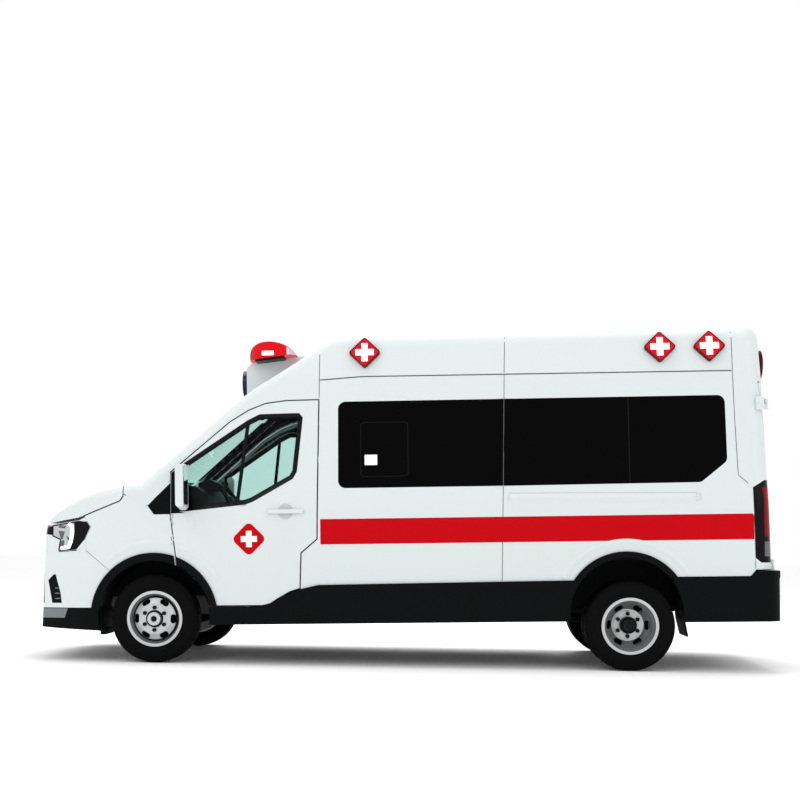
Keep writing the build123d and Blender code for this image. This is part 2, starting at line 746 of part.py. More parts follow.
# Rear doors
REAR_WINDOW = ((-700, 1385), (-150, 1385), (-150, 2000), (-690, 2000))
with BuildPart() as rear_door_left:
    add(SHELL)
    with BuildSketch(SECTION.offset(4600)):
        with BuildLine():
            Polyline(
                (-REAR_DOOR_Y, REAR_DOOR_Z[0]), (-5, REAR_DOOR_Z[0]), (-5, REAR_DOOR_Z[1]),
                (-REAR_DOOR_Y, REAR_DOOR_Z[1]), close=True,
            )
        make_face()
    extrude(amount=600, mode=Mode.INTERSECT)
    side_cut(outline(((4800, 690), (5100, 690), (5100, 2200), (4764, 2200))))
    with BuildSketch(SECTION.offset(4600)) as rear_hole:
        with BuildLine():
            Polyline(*REAR_WINDOW, close=True)
        make_face()
        fillet(rear_hole.vertices(), 60)
    extrude(amount=600, mode=Mode.SUBTRACT)
    for level in REAR_HINGES:
        with Locations(hinge_spot(level, 1, 3.0)):
            Cylinder(REAR_EYE_R, 39, align=(Align.CENTER, Align.CENTER, Align.MIN))
            Box(26, 70, 39, align=(Align.CENTER, Align.MIN, Align.MIN))
        with Locations(hinge_spot(level, 1, 3.0) * Location((0, 30, 0))):
            Box(44, 40, 39, align=(Align.MAX, Align.MIN, Align.MIN))
        with Locations(hinge_spot(level, 1, 3.0)):
            Cylinder(
                REAR_PIN_R + PIN_PLAY, 39, align=(Align.CENTER, Align.CENTER, Align.MIN), mode=Mode.SUBTRACT,
            )
rear_door_left.part.label = "rear_door_left"
export_step(rear_door_left.part, "parts/rear_door_left.step")
with BuildPart() as rear_door_right:
    add(rear_door_left.part.mirror(Plane.XZ))
rear_door_right.part.label = "rear_door_right"
export_step(rear_door_right.part, "parts/rear_door_right.step")
with BuildPart() as rear_glass_left:
    add(PANE_OUT)
    add(PANE_IN, mode=Mode.SUBTRACT)
    with BuildSketch(SECTION.offset(4600)) as rear_pane:
        with BuildLine():
            Polyline(*REAR_WINDOW, close=True)
        make_face()
        fillet(rear_pane.vertices(), 60)
    extrude(amount=600, mode=Mode.INTERSECT)
rear_glass_left.part.label = "rear_glass_left"
export_step(rear_glass_left.part, "parts/rear_glass_left.step")
with BuildPart() as rear_glass_right:
    add(rear_glass_left.part.mirror(Plane.XZ))
rear_glass_right.part.label = "rear_glass_right"
export_step(rear_glass_right.part, "parts/rear_glass_right.step")

# Lamps on the roof
with BuildPart() as beacon_box:
    with BuildSketch(SIDE):
        with BuildLine():
            Polyline(
                (690, 2100), (690, 2395), (735, 2440), (1135, 2484), (1400, 2484), (1400, 2100), close=True,
            )
        make_face()
    extrude(amount=460, both=True)
    fillet(beacon_box.edges().filter_by(Axis.Y).group_by(Axis.Z)[-1], 8)
    add(OUTER, mode=Mode.SUBTRACT)
beacon_box.part.label = "beacon_box"
export_step(beacon_box.part, "parts/beacon_box.step")

with BuildPart() as light_bar:
    with BuildSketch(SIDE):
        with BuildLine():
            crown = Spline(
                (734, 2440), (744, 2528), (800, 2568), (880, 2586), (985, 2574), (1078, 2528), (1120, 2482),
            )
            Line(crown @ 1, crown @ 0)
        make_face()
    extrude(amount=640, both=True)
    with BuildSketch(PLAN.offset(2400)):
        with Locations((927, 0)):
            RectangleRounded(400, 1280, 150)
    extrude(amount=250, mode=Mode.INTERSECT)
    add(beacon_box.part, mode=Mode.SUBTRACT)
light_bar.part.label = "light_bar"
export_step(light_bar.part, "parts/light_bar.step")

with BuildPart() as blue_lamps:
    with BuildSketch(SECTION.offset(645)):
        with Locations((-300, 2280), (300, 2280)):
            Circle(112)
    extrude(amount=45)
    add(OUTER, mode=Mode.SUBTRACT)
blue_lamps.part.label = "blue_lamps"
export_step(blue_lamps.part, "parts/blue_lamps.step")

SIDE_LAMPS = (1702.0, 4029.0, 4414.0)
LAMP_TILT = 12.3
with BuildPart() as warning_left:
    for lamp_x in SIDE_LAMPS:
        spot = at_body(lamp_x, -838, 2441)
        outward = (0, -cos(radians(LAMP_TILT)), sin(radians(LAMP_TILT)))
        with BuildSketch(Plane(origin=spot, x_dir=PLAN.x_dir, z_dir=outward)):
            with Locations(Location((0, 0, 0), (0, 0, 45))):
                RectangleRounded(184, 184, 22)
        extrude(amount=34)
    add(OUTER, mode=Mode.SUBTRACT)
with BuildPart() as warning_rear:
    with BuildSketch(SECTION.offset(4760)):
        with Locations((-560, 2325)):
            Circle(118)
    extrude(amount=112)
    add(OUTER, mode=Mode.SUBTRACT)
with BuildPart() as warning_lamps:
    add(warning_left.part)
    add(warning_rear.part)
    mirror(about=Plane.XZ)
warning_lamps.part.label = "warning_lamps"
export_step(warning_lamps.part, "parts/warning_lamps.step")

# Floor, bulkheads and cab fittings
LINER_R = 474.0
LINER_T = 10.0
with BuildPart() as firewall:
    add(INNER)
    side_cut(outline(((150, 690), (200, 690), (60, 1180), (20, 1395), (-30, 1395), (10, 1180))), -900, 900)
    for near in (1, -1):
        with BuildSketch(SIDE.offset(near * 550)):
            with Locations(ARCH_F):
                Circle(LINER_R)
        extrude(amount=near * 500, mode=Mode.SUBTRACT)
firewall.part.label = "firewall"
export_step(firewall.part, "parts/firewall.step")

with BuildPart() as dashboard:
    with BuildSketch(SIDE):
        with BuildLine():
            Polyline(
                (40, 1180), (20, 1330), (130, 1400), (330, 1405), (430, 1330), (450, 1180), (330, 1000),
                (150, 990), close=True,
            )
        make_face()
    extrude(amount=880, both=True)
    add(firewall.part, mode=Mode.SUBTRACT)
    with BuildSketch(SIDE.offset(240)):
        with BuildLine():
            Polyline((300, 1380), (470, 1380), (490, 1425), (400, 1470), (300, 1440), close=True)
        make_face()
    extrude(amount=360)
dashboard.part.label = "dashboard"
export_step(dashboard.part, "parts/dashboard.step")

with BuildPart() as steering_wheel:
    hub = at_body(560, -430, 1290)
    tilt = Plane(origin=hub, x_dir=(0, 1, 0), z_dir=(0.82, 0, 0.57))
    with BuildSketch(Plane(origin=hub + tilt.y_dir * 190, x_dir=tilt.z_dir, z_dir=tilt.x_dir)):
        Circle(17)
    revolve(axis=Axis(hub, tilt.z_dir), revolution_arc=360)
    with BuildSketch(tilt.offset(-12)):
        Circle(55)
        Rectangle(370, 30)
        with Locations((0, -90)):
            Rectangle(36, 190)
    extrude(amount=24)
    with BuildSketch(tilt.offset(-12)):
        Circle(32)
    extrude(amount=-190)
    add(dashboard.part, mode=Mode.SUBTRACT)
steering_wheel.part.label = "steering_wheel"
export_step(steering_wheel.part, "parts/steering_wheel.step")

with BuildPart() as seats:
    with BuildSketch(SIDE) as seat_side:
        with BuildLine():
            Polyline(
                (760, 980), (760, 1090), (1120, 1080), (1240, 1640), (1330, 1640), (1240, 960), close=True,
            )
        make_face()
        fillet(seat_side.vertices(), 30)
    extrude(amount=250, both=True)
    with BuildSketch(SIDE):
        with Locations((1000, 840)):
            Rectangle(360, 300)
    extrude(amount=190, both=True)
    with BuildSketch(SIDE):
        with Locations((1290, 1745)):
            RectangleRounded(90, 170, 30)
    extrude(amount=130, both=True)
    with BuildSketch(PLAN.offset(1600)):
        for near in (1, -1):
            with Locations((1290, near * 60)):
                Circle(8)
    extrude(amount=80)
with BuildPart() as seat_pair:
    for near in (-430, 430):
        with Locations((0, near, 0)):
            add(seats.part)
seat_pair.part.label = "seats"
export_step(seat_pair.part, "parts/seats.step")

with BuildPart() as partition:
    add(INNER)
    side_cut(outline(((1400, FLOOR_Z), (1440, FLOOR_Z), (1440, 2560), (1400, 2560))), -REACH, REACH)
    with BuildSketch(SECTION.offset(1380)):
        with Locations((0, 1560)):
            RectangleRounded(620, 520, 60)
    extrude(amount=90, mode=Mode.SUBTRACT)
partition.part.label = "partition"
export_step(partition.part, "parts/partition.step")

# Wheel housings and flaps
with BuildPart() as liner_front:
    with BuildSketch(SIDE.offset(560)):
        with Locations(ARCH_F):
            Circle(LINER_R)
            Circle(LINER_R - LINER_T, mode=Mode.SUBTRACT)
        with Locations((ARCH_F[0], 0)):
            Rectangle(1200, 880, mode=Mode.SUBTRACT)
    extrude(amount=362)
    with BuildSketch(SIDE.offset(550)):
        with Locations(ARCH_F):
            Circle(LINER_R)
        with Locations((ARCH_F[0], 0)):
            Rectangle(1200, 1160, mode=Mode.SUBTRACT)
    extrude(amount=LINER_T)
    add(INNER, mode=Mode.INTERSECT)
with BuildPart() as liner_rear:
    with BuildSketch(SIDE.offset(548)):
        with Locations((3730, 590)):
            Rectangle(896, 390)
    extrude(amount=392)
    with BuildSketch(SIDE.offset(560)):
        with Locations((3730, 560)):
            Rectangle(872, 426)
    extrude(amount=380, mode=Mode.SUBTRACT)
with BuildPart() as flap:
    with BuildSketch(SIDE.offset(600)):
        with BuildLine():
            Polyline(
                (4166, 630), (4150, 480), (4166, 300), (4196, 170), (4210, 170), (4186, 300), (4180, 630),
                close=True,
            )
        make_face()
    extrude(amount=350)
with BuildPart() as wheel_liners:
    add(liner_front.part)
    add(liner_rear.part)
    add(flap.part)
    mirror(about=Plane.XZ)
wheel_liners.part.label = "wheel_liners"
export_step(wheel_liners.part, "parts/wheel_liners.step")

# Running gear, level with the ground
FRONT = Plane(origin=(X_FA, 0, 0), x_dir=(0, 1, 0), z_dir=(1, 0, 0))
REAR = Plane(origin=(X_RA, 0, 0), x_dir=(0, 1, 0), z_dir=(1, 0, 0))
FRONT_SIDE = Plane(origin=(X_FA, 0, 0), x_dir=(1, 0, 0), z_dir=(0, -1, 0))
REAR_SIDE = Plane(origin=(X_RA, 0, 0), x_dir=(1, 0, 0), z_dir=(0, -1, 0))
STUB_R = 35.0
STUB_PLAY = 0.3
KINGPIN_R = 14.0

with BuildPart() as engine:
    with BuildSketch(PLAN.offset(400)):
        with Locations((-280, 0)):
            RectangleRounded(560, 520, 50)
    extrude(amount=620)
    with BuildSketch(SECTION.offset(-10)):
        with Locations((0, 470)):
            Circle(160)
    with BuildSketch(SECTION.offset(585)):
        with Locations((0, 440)):
            Circle(70)
    loft()
    with BuildSketch(PLAN.offset(480)):
        with Locations((-640, 0)):
            Rectangle(60, 700)
    extrude(amount=560)
    with BuildSketch(SECTION.offset(-620)):
        with Locations((0, 700)):
            Circle(60)
    extrude(amount=80)
    with BuildSketch(PLAN.offset(505)):
        for near in (1, -1):
            with Locations((-250, near * 305)):
                Rectangle(90, 110)
    extrude(amount=60)
engine.part.label = "engine"
export_step(engine.part, "parts/engine.step")

ARM_ROWS = (
    # level, pivot half spread, hub eye radius
    (232, 170, 30), (468, 120, 26),
)
with BuildPart() as front_arm:
    for level, spread, eye in ARM_ROWS:
        with BuildSketch(Plane.XY.offset(level - 14)):
            with BuildLine():
                Polyline(
                    (X_FA - 24, -KINGPIN_Y), (X_FA + 24, -KINGPIN_Y), (X_FA + spread, -430),
                    (X_FA + spread - 70, -430), (X_FA, -640), (X_FA - spread + 70, -430),
                    (X_FA - spread, -430), close=True,
                )
            make_face()
            with Locations((X_FA, -KINGPIN_Y)):
                Circle(eye)
                Circle(KINGPIN_R + STUB_PLAY, mode=Mode.SUBTRACT)
        extrude(amount=28)
with BuildPart() as front_subframe:
    add(front_arm.part)
    mirror(about=Plane.XZ)
    with BuildSketch(FRONT.offset(-190)):
        with Locations((0, 232)):
            Rectangle(900, 70)
    extrude(amount=380)
    with BuildSketch(FRONT.offset(-190)):
        for near in (1, -1):
            with Locations((near * 410, 372)):
                Rectangle(60, 300)
    extrude(amount=380)
front_subframe.part.label = "front_subframe"
export_step(front_subframe.part, "parts/front_subframe.step")

with BuildPart() as knuckle_left:
    with BuildSketch(Plane.XY.offset(262)):
        with Locations((X_FA, -KINGPIN_Y)):
            RectangleRounded(90, 44, 12)
    extrude(amount=176)
    with BuildSketch(Plane.XY.offset(200)):
        with Locations((X_FA, -KINGPIN_Y)):
            Circle(KINGPIN_R)
    extrude(amount=300)
    with BuildSketch(FRONT_SIDE.offset(KINGPIN_Y)):
        with Locations((0, TYRE_R)):
            Circle(STUB_R)
    extrude(amount=150)
    with BuildSketch(Plane.XY.offset(300)):
        with BuildLine():
            Polyline(
                (X_FA + 30, -KINGPIN_Y - 16), (X_FA + 30, -KINGPIN_Y + 20), (X_FA + 150, -KINGPIN_Y + 60),
                (X_FA + 165, -KINGPIN_Y + 30), close=True,
            )
        make_face()
    extrude(amount=26)
knuckle_left.part.label = "knuckle_left"
export_step(knuckle_left.part, "parts/knuckle_left.step")
with BuildPart() as knuckle_right:
    add(knuckle_left.part.mirror(Plane.XZ))
knuckle_right.part.label = "knuckle_right"
export_step(knuckle_right.part, "parts/knuckle_right.step")

LEAF_Y = 460.0
LEAF_W = 70.0
TUBE_END = 740.0
STUB_END = 962.0
with BuildPart() as rear_axle:
    for end, tube_r in ((TUBE_END, 48), (STUB_END, STUB_R)):
        with BuildSketch(REAR_SIDE.offset(-end)):
            with Locations((0, TYRE_R)):
                Circle(tube_r)
        extrude(amount=2 * end)
    with BuildSketch(REAR):
        with BuildLine():
            Line((-170, TYRE_R), (170, TYRE_R))
            ThreePointArc((170, TYRE_R), (0, TYRE_R + 150), (-170, TYRE_R))
        make_face()
    revolve(axis=Axis((X_RA, 0, TYRE_R), (0, 1, 0)), revolution_arc=360)
    for leaf_start in (LEAF_Y, -LEAF_Y - LEAF_W):
        with BuildSketch(REAR_SIDE.offset(leaf_start)):
            with BuildLine():
                ThreePointArc((-720, 500), (0, 398), (720, 545))
                Line((720, 545), (720, 592))
                ThreePointArc((720, 592), (0, 440), (-720, 547))
                Line((-720, 547), (-720, 500))
            make_face()
        extrude(amount=LEAF_W)
    with BuildSketch(Plane.YZ.offset(X_FA + 580)):
        with Locations((0, 454)):
            Circle(42)
    with BuildSketch(Plane.YZ.offset(X_RA - 100)):
        with Locations((0, 355)):
            Circle(42)
    loft()
rear_axle.part.label = "rear_axle"
export_step(rear_axle.part, "parts/rear_axle.step")

with BuildPart() as fuel_tank:
    with BuildSketch(PLAN.offset(400)):
        with Locations((2200, -600)):
            RectangleRounded(900, 300, 60)
    extrude(amount=130)
fuel_tank.part.label = "fuel_tank"
export_step(fuel_tank.part, "parts/fuel_tank.step")

EXHAUST_Z = 466.0
EXHAUST_Y = 200.0
with BuildPart() as exhaust:
    with BuildLine(PLAN.offset(EXHAUST_Z)) as run:
        FilletPolyline((0, EXHAUST_Y), (2700, EXHAUST_Y), (2840, 640), radius=140)
    with BuildSketch(Plane(origin=run.line @ 0, z_dir=run.line % 0)):
        Circle(27)
    sweep()
    with BuildSketch(SECTION.offset(1620)):
        with Locations((EXHAUST_Y, EXHAUST_Z + 4)):
            Ellipse(120, 84)
    extrude(amount=560)
exhaust.part.label = "exhaust"
export_step(exhaust.part, "parts/exhaust.step")

# Wheels
TYRE_FLANK = (
    # offset from the middle, radius
    (0, 216), (56, 216), (61, 200.375), (75, 205.625), (79, 224), (84, 229), (97, 266), (97, 292), (86, 331),
    (66, TYRE_R),
)


def tyre(axle_x, y_mid):
    with BuildPart() as body:
        with BuildSketch(Plane(origin=(axle_x, y_mid, TYRE_R), x_dir=(0, 1, 0), z_dir=(1, 0, 0))):
            with BuildLine():
                Polyline(*TYRE_FLANK, (0, TYRE_R), TYRE_FLANK[0])
            make_face()
            mirror(about=Plane.YZ)
        revolve(axis=Axis((axle_x, 0, TYRE_R), (0, 1, 0)), revolution_arc=360)
    return body.part


# Rim bands: width offset and radius pairs of the barrel and the disc, from the wheel's middle outward
BARREL = (
    (-86, 222), (-80, 222), (-76, 206), (-60, 200), (-40, 186), (30, 186), (60, 200), (76, 206), (80, 222),
    (86, 222), (84, 199), (62, 192), (34, 178), (-44, 178), (-64, 192), (-84, 199),
)
HUB_BORE_R = STUB_R + STUB_PLAY
NUT_RING_R = 89.0
NUT_R = 14.0
SLOT_L = 74.0
SLOT_W = 40.0
DISC_OUT = (
    # convex disc: offset outward, radius
    (34, 181), (52, 172), (81, 124), (84, 106), (84, 36), (74, 36), (74, 104), (70, 122), (44, 164),
    (24, 182),
)
DISC_IN = (
    # dished disc
    (-8, 182), (-42, 172), (-92, 126), (-96, 106), (-96, 60), (-110, 60), (-110, 104), (-104, 121),
    (-54, 178), (-22, 183),
)


def spun(axle_x, y_mid, way, points):
    with BuildPart() as body:
        with BuildSketch(Plane(origin=(axle_x, y_mid, TYRE_R), x_dir=(0, way, 0), z_dir=(way, 0, 0))):
            with BuildLine():
                Polyline(*points, close=True)
            make_face()
        revolve(axis=Axis((axle_x, 0, TYRE_R), (0, 1, 0)), revolution_arc=360)
    return body.part


with BuildPart() as tyre_fl:
    add(tyre(X_FA, -TRACK_F))
tyre_fl.part.label = "tyre_front_left"
export_step(tyre_fl.part, "parts/tyre_front_left.step")
with BuildPart() as tyre_fr:
    add(tyre(X_FA, TRACK_F))
tyre_fr.part.label = "tyre_front_right"
export_step(tyre_fr.part, "parts/tyre_front_right.step")
with BuildPart() as tyres_rl:
    add(tyre(X_RA, -TWIN_OUT))
    add(tyre(X_RA, -TWIN_IN))
tyres_rl.part.label = "tyres_rear_left"
export_step(tyres_rl.part, "parts/tyres_rear_left.step")
with BuildPart() as tyres_rr:
    add(tyre(X_RA, TWIN_OUT))
    add(tyre(X_RA, TWIN_IN))
tyres_rr.part.label = "tyres_rear_right"
export_step(tyres_rr.part, "parts/tyres_rear_right.step")

with BuildPart() as rim_fl:
    add(spun(X_FA, -TRACK_F, -1, BARREL))
    add(spun(X_FA, -TRACK_F, -1, DISC_OUT))
    add(spun(X_FA, -TRACK_F, -1, ((-30, HUB_BORE_R), (-30, 70), (74, 70), (74, HUB_BORE_R))))
    with BuildSketch(FRONT_SIDE.offset(TRACK_F + 20)):
        with Locations((0, TYRE_R)):
            with PolarLocations(146, 6):
                SlotOverall(SLOT_L, SLOT_W, rotation=90)
    extrude(amount=100, mode=Mode.SUBTRACT)
    with BuildSketch(FRONT_SIDE.offset(TRACK_F + 80)):
        with Locations((0, TYRE_R)):
            with PolarLocations(NUT_RING_R, 6, 30):
                RegularPolygon(NUT_R, 6)
    extrude(amount=22)
    with BuildSketch(FRONT_SIDE.offset(TRACK_F + 84)):
        with Locations((0, TYRE_R)):
            Circle(52)
    extrude(amount=30)
rim_fl.part.label = "rim_front_left"
export_step(rim_fl.part, "parts/rim_front_left.step")
with BuildPart() as rim_fr:
    add(rim_fl.part.mirror(Plane.XZ))
rim_fr.part.label = "rim_front_right"
export_step(rim_fr.part, "parts/rim_front_right.step")

with BuildPart() as rims_rl:
    add(spun(X_RA, -TWIN_OUT, -1, BARREL))
    add(spun(X_RA, -TWIN_OUT, -1, DISC_IN))
    add(spun(X_RA, -TWIN_IN, 1, BARREL))
    add(spun(X_RA, -TWIN_IN, 1, DISC_IN))
    add(spun(X_RA, -TWIN_OUT, -1, ((-150, HUB_BORE_R), (-150, 66), (-24, 66), (10, 50), (10, HUB_BORE_R))))
    with BuildSketch(REAR_SIDE.offset(TWIN_IN - 20)):
        with Locations((0, TYRE_R)):
            with PolarLocations(150, 6):
                SlotOverall(SLOT_L, SLOT_W, rotation=90)
    extrude(amount=240, mode=Mode.SUBTRACT)
    with BuildSketch(REAR_SIDE.offset(TWIN_OUT - 98)):
        with Locations((0, TYRE_R)):
            with PolarLocations(NUT_RING_R, 6, 30):
                RegularPolygon(NUT_R, 6)
    extrude(amount=30)
rims_rl.part.label = "rims_rear_left"
export_step(rims_rl.part, "parts/rims_rear_left.step")
with BuildPart() as rims_rr:
    add(rims_rl.part.mirror(Plane.XZ))
rims_rr.part.label = "rims_rear_right"
export_step(rims_rr.part, "parts/rims_rear_right.step")

# The floor goes last, so that it takes the shape of what it carries
RAIL_H = 130.0
TOW_EYE = (4690.0, -400.0)
TOW_T = 25.0
TOW_R = 40.0
TOW_HOLE_R = 17.0
with BuildPart() as floor_pan:
    with BuildSketch(PLAN.offset(FLOOR_Z - FLOOR_T)):
        with Locations((930, 0)):
            Rectangle(840, 1850)
        with Locations((3050, 0)):
            Rectangle(3420, 1880)
        with Locations((400, 0)):
            Rectangle(500, 1080)
        for near in (1, -1):
            with Locations((3730, near * 745)):
                Rectangle(900, 410, mode=Mode.SUBTRACT)
    extrude(amount=FLOOR_T)
    with BuildSketch(PLAN.offset(FLOOR_Z - FLOOR_T - RAIL_H)):
        for near in (1, -1):
            with Locations((1950, near * 400)):
                Rectangle(5400, 80)
        for cross_x in (900, 1500, 2300, 3000, 4560):
            with Locations((cross_x, 0)):
                Rectangle(90, 880)
    extrude(amount=RAIL_H)
    with BuildSketch(PLAN.offset(FLOOR_Z - FLOOR_T - 110)):
        for outrigger_x in (700, 1250, 1900, 2550, 3150):
            for near in (1, -1):
                with Locations((outrigger_x, near * 670)):
                    Rectangle(70, 520)
    extrude(amount=110)
    with BuildSketch(PLAN.offset(440)):
        for hanger_x in (3045, 4455):
            for near in (1, -1):
                with Locations((hanger_x, near * 480)):
                    Rectangle(90, 80)
    extrude(amount=200)
    with BuildSketch(PLAN.offset(FLOOR_Z - FLOOR_T - RAIL_H - TOW_T)):
        with Locations(TOW_EYE):
            Circle(TOW_R)
            Rectangle(110, 2 * TOW_R, align=(Align.MAX, Align.CENTER))
            Circle(TOW_HOLE_R, mode=Mode.SUBTRACT)
    extrude(amount=TOW_T)
    for piece in (engine, front_subframe, rear_axle):
        add(piece.part, mode=Mode.SUBTRACT)
floor_pan.part.label = "floor_pan"
export_step(floor_pan.part, "parts/floor_pan.step")
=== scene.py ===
from math import cos, pi, radians, sin

import bmesh
import bpy
from mathutils import Matrix, Vector
from mathutils.bvhtree import BVHTree


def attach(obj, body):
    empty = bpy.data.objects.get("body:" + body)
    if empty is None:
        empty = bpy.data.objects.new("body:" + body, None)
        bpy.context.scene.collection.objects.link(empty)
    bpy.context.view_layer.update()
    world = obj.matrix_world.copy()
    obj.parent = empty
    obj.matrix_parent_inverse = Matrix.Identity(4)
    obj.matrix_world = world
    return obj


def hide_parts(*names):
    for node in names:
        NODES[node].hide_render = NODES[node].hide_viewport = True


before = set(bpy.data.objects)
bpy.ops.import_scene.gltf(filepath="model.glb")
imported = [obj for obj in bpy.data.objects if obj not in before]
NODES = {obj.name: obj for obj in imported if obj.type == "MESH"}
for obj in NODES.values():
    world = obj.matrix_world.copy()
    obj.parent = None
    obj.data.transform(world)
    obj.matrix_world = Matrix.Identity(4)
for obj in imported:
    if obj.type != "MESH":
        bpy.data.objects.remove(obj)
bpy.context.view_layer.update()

# Axles and wheel middles in the frame's metres
X_FA = -1.93936
X_RA = 1.81064
AXLE_Z = 0.35
TRACK_F = 0.868
TWIN_OUT = 0.9
TWIN_IN = 0.68

# The body's own coordinates: millimetres from the front axle and the ground there, raked tail-high
MM = 0.001
RAKE = radians(1.4)
BACKWARD = Vector((cos(RAKE), 0, sin(RAKE)))
LEFT, RIGHT = -1, 1
SIDES = ((LEFT, "left"), (RIGHT, "right"))


def at(x, y, z):
    """Body millimetres to the frame's metres."""
    x, y, z = x * MM, y * MM, z * MM
    return Vector((X_FA + x * cos(RAKE) - z * sin(RAKE), y, x * sin(RAKE) + z * cos(RAKE)))


# Materials
COAT_ROUGH = 0.04
GLASS_ROUGH = 0.01
GRAIN_DETAIL = 4
GRAIN_DEPTH = 0.002


def plain(name, color, rough, metal=0.0, coat=0.0, shine=0.5, glow=0.0, glow_color=None):
    """A material of one colour, which may be coated or lit."""
    m = bpy.data.materials.new(name)
    m.use_nodes = True
    b = m.node_tree.nodes["Principled BSDF"]
    b.inputs["Base Color"].default_value = (*color, 1)
    b.inputs["Roughness"].default_value = rough
    b.inputs["Metallic"].default_value = metal
    b.inputs["Specular IOR Level"].default_value = shine
    b.inputs["Coat Weight"].default_value = coat
    b.inputs["Coat Roughness"].default_value = COAT_ROUGH
    if glow:
        b.inputs["Emission Color"].default_value = (*(glow_color or color), 1)
        b.inputs["Emission Strength"].default_value = glow
    return m


def grained(m, scale, strength):
    """Adds a fine bump to a material."""
    tree = m.node_tree
    noise = tree.nodes.new("ShaderNodeTexNoise")
    noise.inputs["Scale"].default_value = scale
    noise.inputs["Detail"].default_value = GRAIN_DETAIL
    coords = tree.nodes.new("ShaderNodeTexCoord")
    bump = tree.nodes.new("ShaderNodeBump")
    bump.inputs["Strength"].default_value = strength
    bump.inputs["Distance"].default_value = GRAIN_DEPTH
    tree.links.new(coords.outputs["Object"], noise.inputs["Vector"])
    tree.links.new(noise.outputs["Fac"], bump.inputs["Height"])
    tree.links.new(bump.outputs["Normal"], tree.nodes["Principled BSDF"].inputs["Normal"])
    return m


def glass(name, color, bend):
    """A see-through material; bend is its index of refraction."""
    m = plain(name, color, GLASS_ROUGH)
    b = m.node_tree.nodes["Principled BSDF"]
    b.inputs["Transmission Weight"].default_value = 1
    b.inputs["IOR"].default_value = bend
    return m


WHITE = plain("paint_white", (0.62, 0.665, 0.668), 0.36, shine=0.4, coat=0.25)
# A flat grey that paints shade: the shaded recess behind the cab door's handle and the shadow line along the
# pressed rib
PAINTED_SHADE = plain("painted_shade_grey", (0.46, 0.48, 0.485), 0.4)
BLACK = grained(plain("trim_black", (0.0024, 0.003, 0.0032), 0.5, shine=0.05), 900, 0.25)
BLACK_GLOSS = plain("black_gloss", (0.002, 0.002, 0.0024), 0.14, shine=0.12)
GREY_TRIM = plain("trim_grey", (0.14, 0.16, 0.175), 0.45)
SEAM = plain("seam_grey", (0.09, 0.095, 0.1), 0.7, shine=0.1)
RUBBER = grained(plain("tyre_rubber", (0.0032, 0.0032, 0.0033), 0.75, shine=0.04), 260, 0.3)
SEAL = plain("rubber_seal", (0.008, 0.008, 0.009), 0.7, shine=0.05)
SILVER = plain("rim_silver", (0.5, 0.51, 0.515), 0.36, metal=0.8)
CHASSIS = grained(plain("chassis_black", (0.006, 0.006, 0.0065), 0.6, shine=0.08), 90, 0.3)
CAST = grained(plain("cast_grey", (0.12, 0.12, 0.125), 0.7), 70, 0.4)
TINT = plain("privacy_glass", (0.001, 0.001, 0.001), 0.05, shine=0.03)
CLEAR = glass("clear_glass", (0.66, 0.84, 0.8), 1.12)
RED = plain("stripe_red", (0.49, 0.0, 0.004), 0.45, shine=0.06)
RED_GLOW = (0.8, 0.001, 0.008)
LAMP_RED = plain("lamp_red", (0.36, 0.001, 0.006), 0.16, shine=0.12, glow=0.45, glow_color=RED_GLOW)
TAIL_RED = plain("tail_red", (0.2, 0.001, 0.005), 0.2, shine=0.08)
LAMP_SMOKE = plain("lamp_smoke", (0.1, 0.105, 0.11), 0.15, shine=0.3)
LAMP_DEEP = plain("lamp_deep_red", (0.07, 0.001, 0.003), 0.14, shine=0.12)
LAMP_BLUE = plain("lamp_blue", (0.004, 0.007, 0.04), 0.14, shine=0.2, coat=0.15)
LAMP_CLEAR = plain("lamp_clear", (0.5, 0.53, 0.55), 0.1, metal=0.7, coat=1.0)
LAMP_LIT = plain("lamp_lit", (1, 0.97, 0.95), 0.3, glow=1.4, glow_color=(1, 0.94, 0.9))
LINING = grained(plain("lining_grey", (0.5, 0.51, 0.51), 0.6), 200, 0.15)
CAB = grained(plain("cab_plastic", (0.01, 0.011, 0.012), 0.55, shine=0.15), 500, 0.3)
CLOTH = grained(plain("seat_cloth", (0.02, 0.023, 0.028), 0.9, shine=0.2), 420, 0.5)
MIRROR = plain("mirror_glass", (0.9, 0.92, 0.93), 0.02, metal=1.0)
STICKER = plain("blank_white", (0.86, 0.86, 0.85), 0.6)

LOOKS = (
    # material, CAD nodes
    (WHITE, "cab_frame door_left door_right fenders front_bumper hood"),
    (WHITE, "rear_door_left rear_door_right rear_frame roof_panel sliding_door_right"),
    (WHITE, "side_panel_left_front side_panel_left_rear side_panel_right_rear"),
    (WHITE, "beacon_box mirror_left mirror_right"),
    (BLACK, "cladding_left cladding_right cowl door_trim_left door_trim_right lower_bumper rear_bumper"),
    (BLACK, "wheel_liners fuel_tank"),
    (BLACK_GLOSS, "grille tail_lamps"),
    (GREY_TRIM, "skid_trim"),
    (SILVER, "rim_front_left rim_front_right rims_rear_left rims_rear_right"),
    (RUBBER, "tyre_front_left tyre_front_right tyres_rear_left tyres_rear_right"),
    (CHASSIS, "firewall floor_pan front_subframe knuckle_left knuckle_right rear_axle"),
    (CAST, "engine exhaust"),
    (TINT, "side_glass rear_glass_left rear_glass_right"),
    (CLEAR, "door_glass_left door_glass_right windshield"),
    (LAMP_RED, "light_bar"),
    (LAMP_DEEP, "warning_lamps"),
    (LAMP_BLUE, "blue_lamps"),
    (LAMP_CLEAR, "headlamps"),
    (LINING, "partition"),
    (CAB, "dashboard steering_wheel"),
    (CLOTH, "seats"),
)
for look, names in LOOKS:
    for name in names.split():
        NODES[name].data.materials.clear()
        NODES[name].data.materials.append(look)


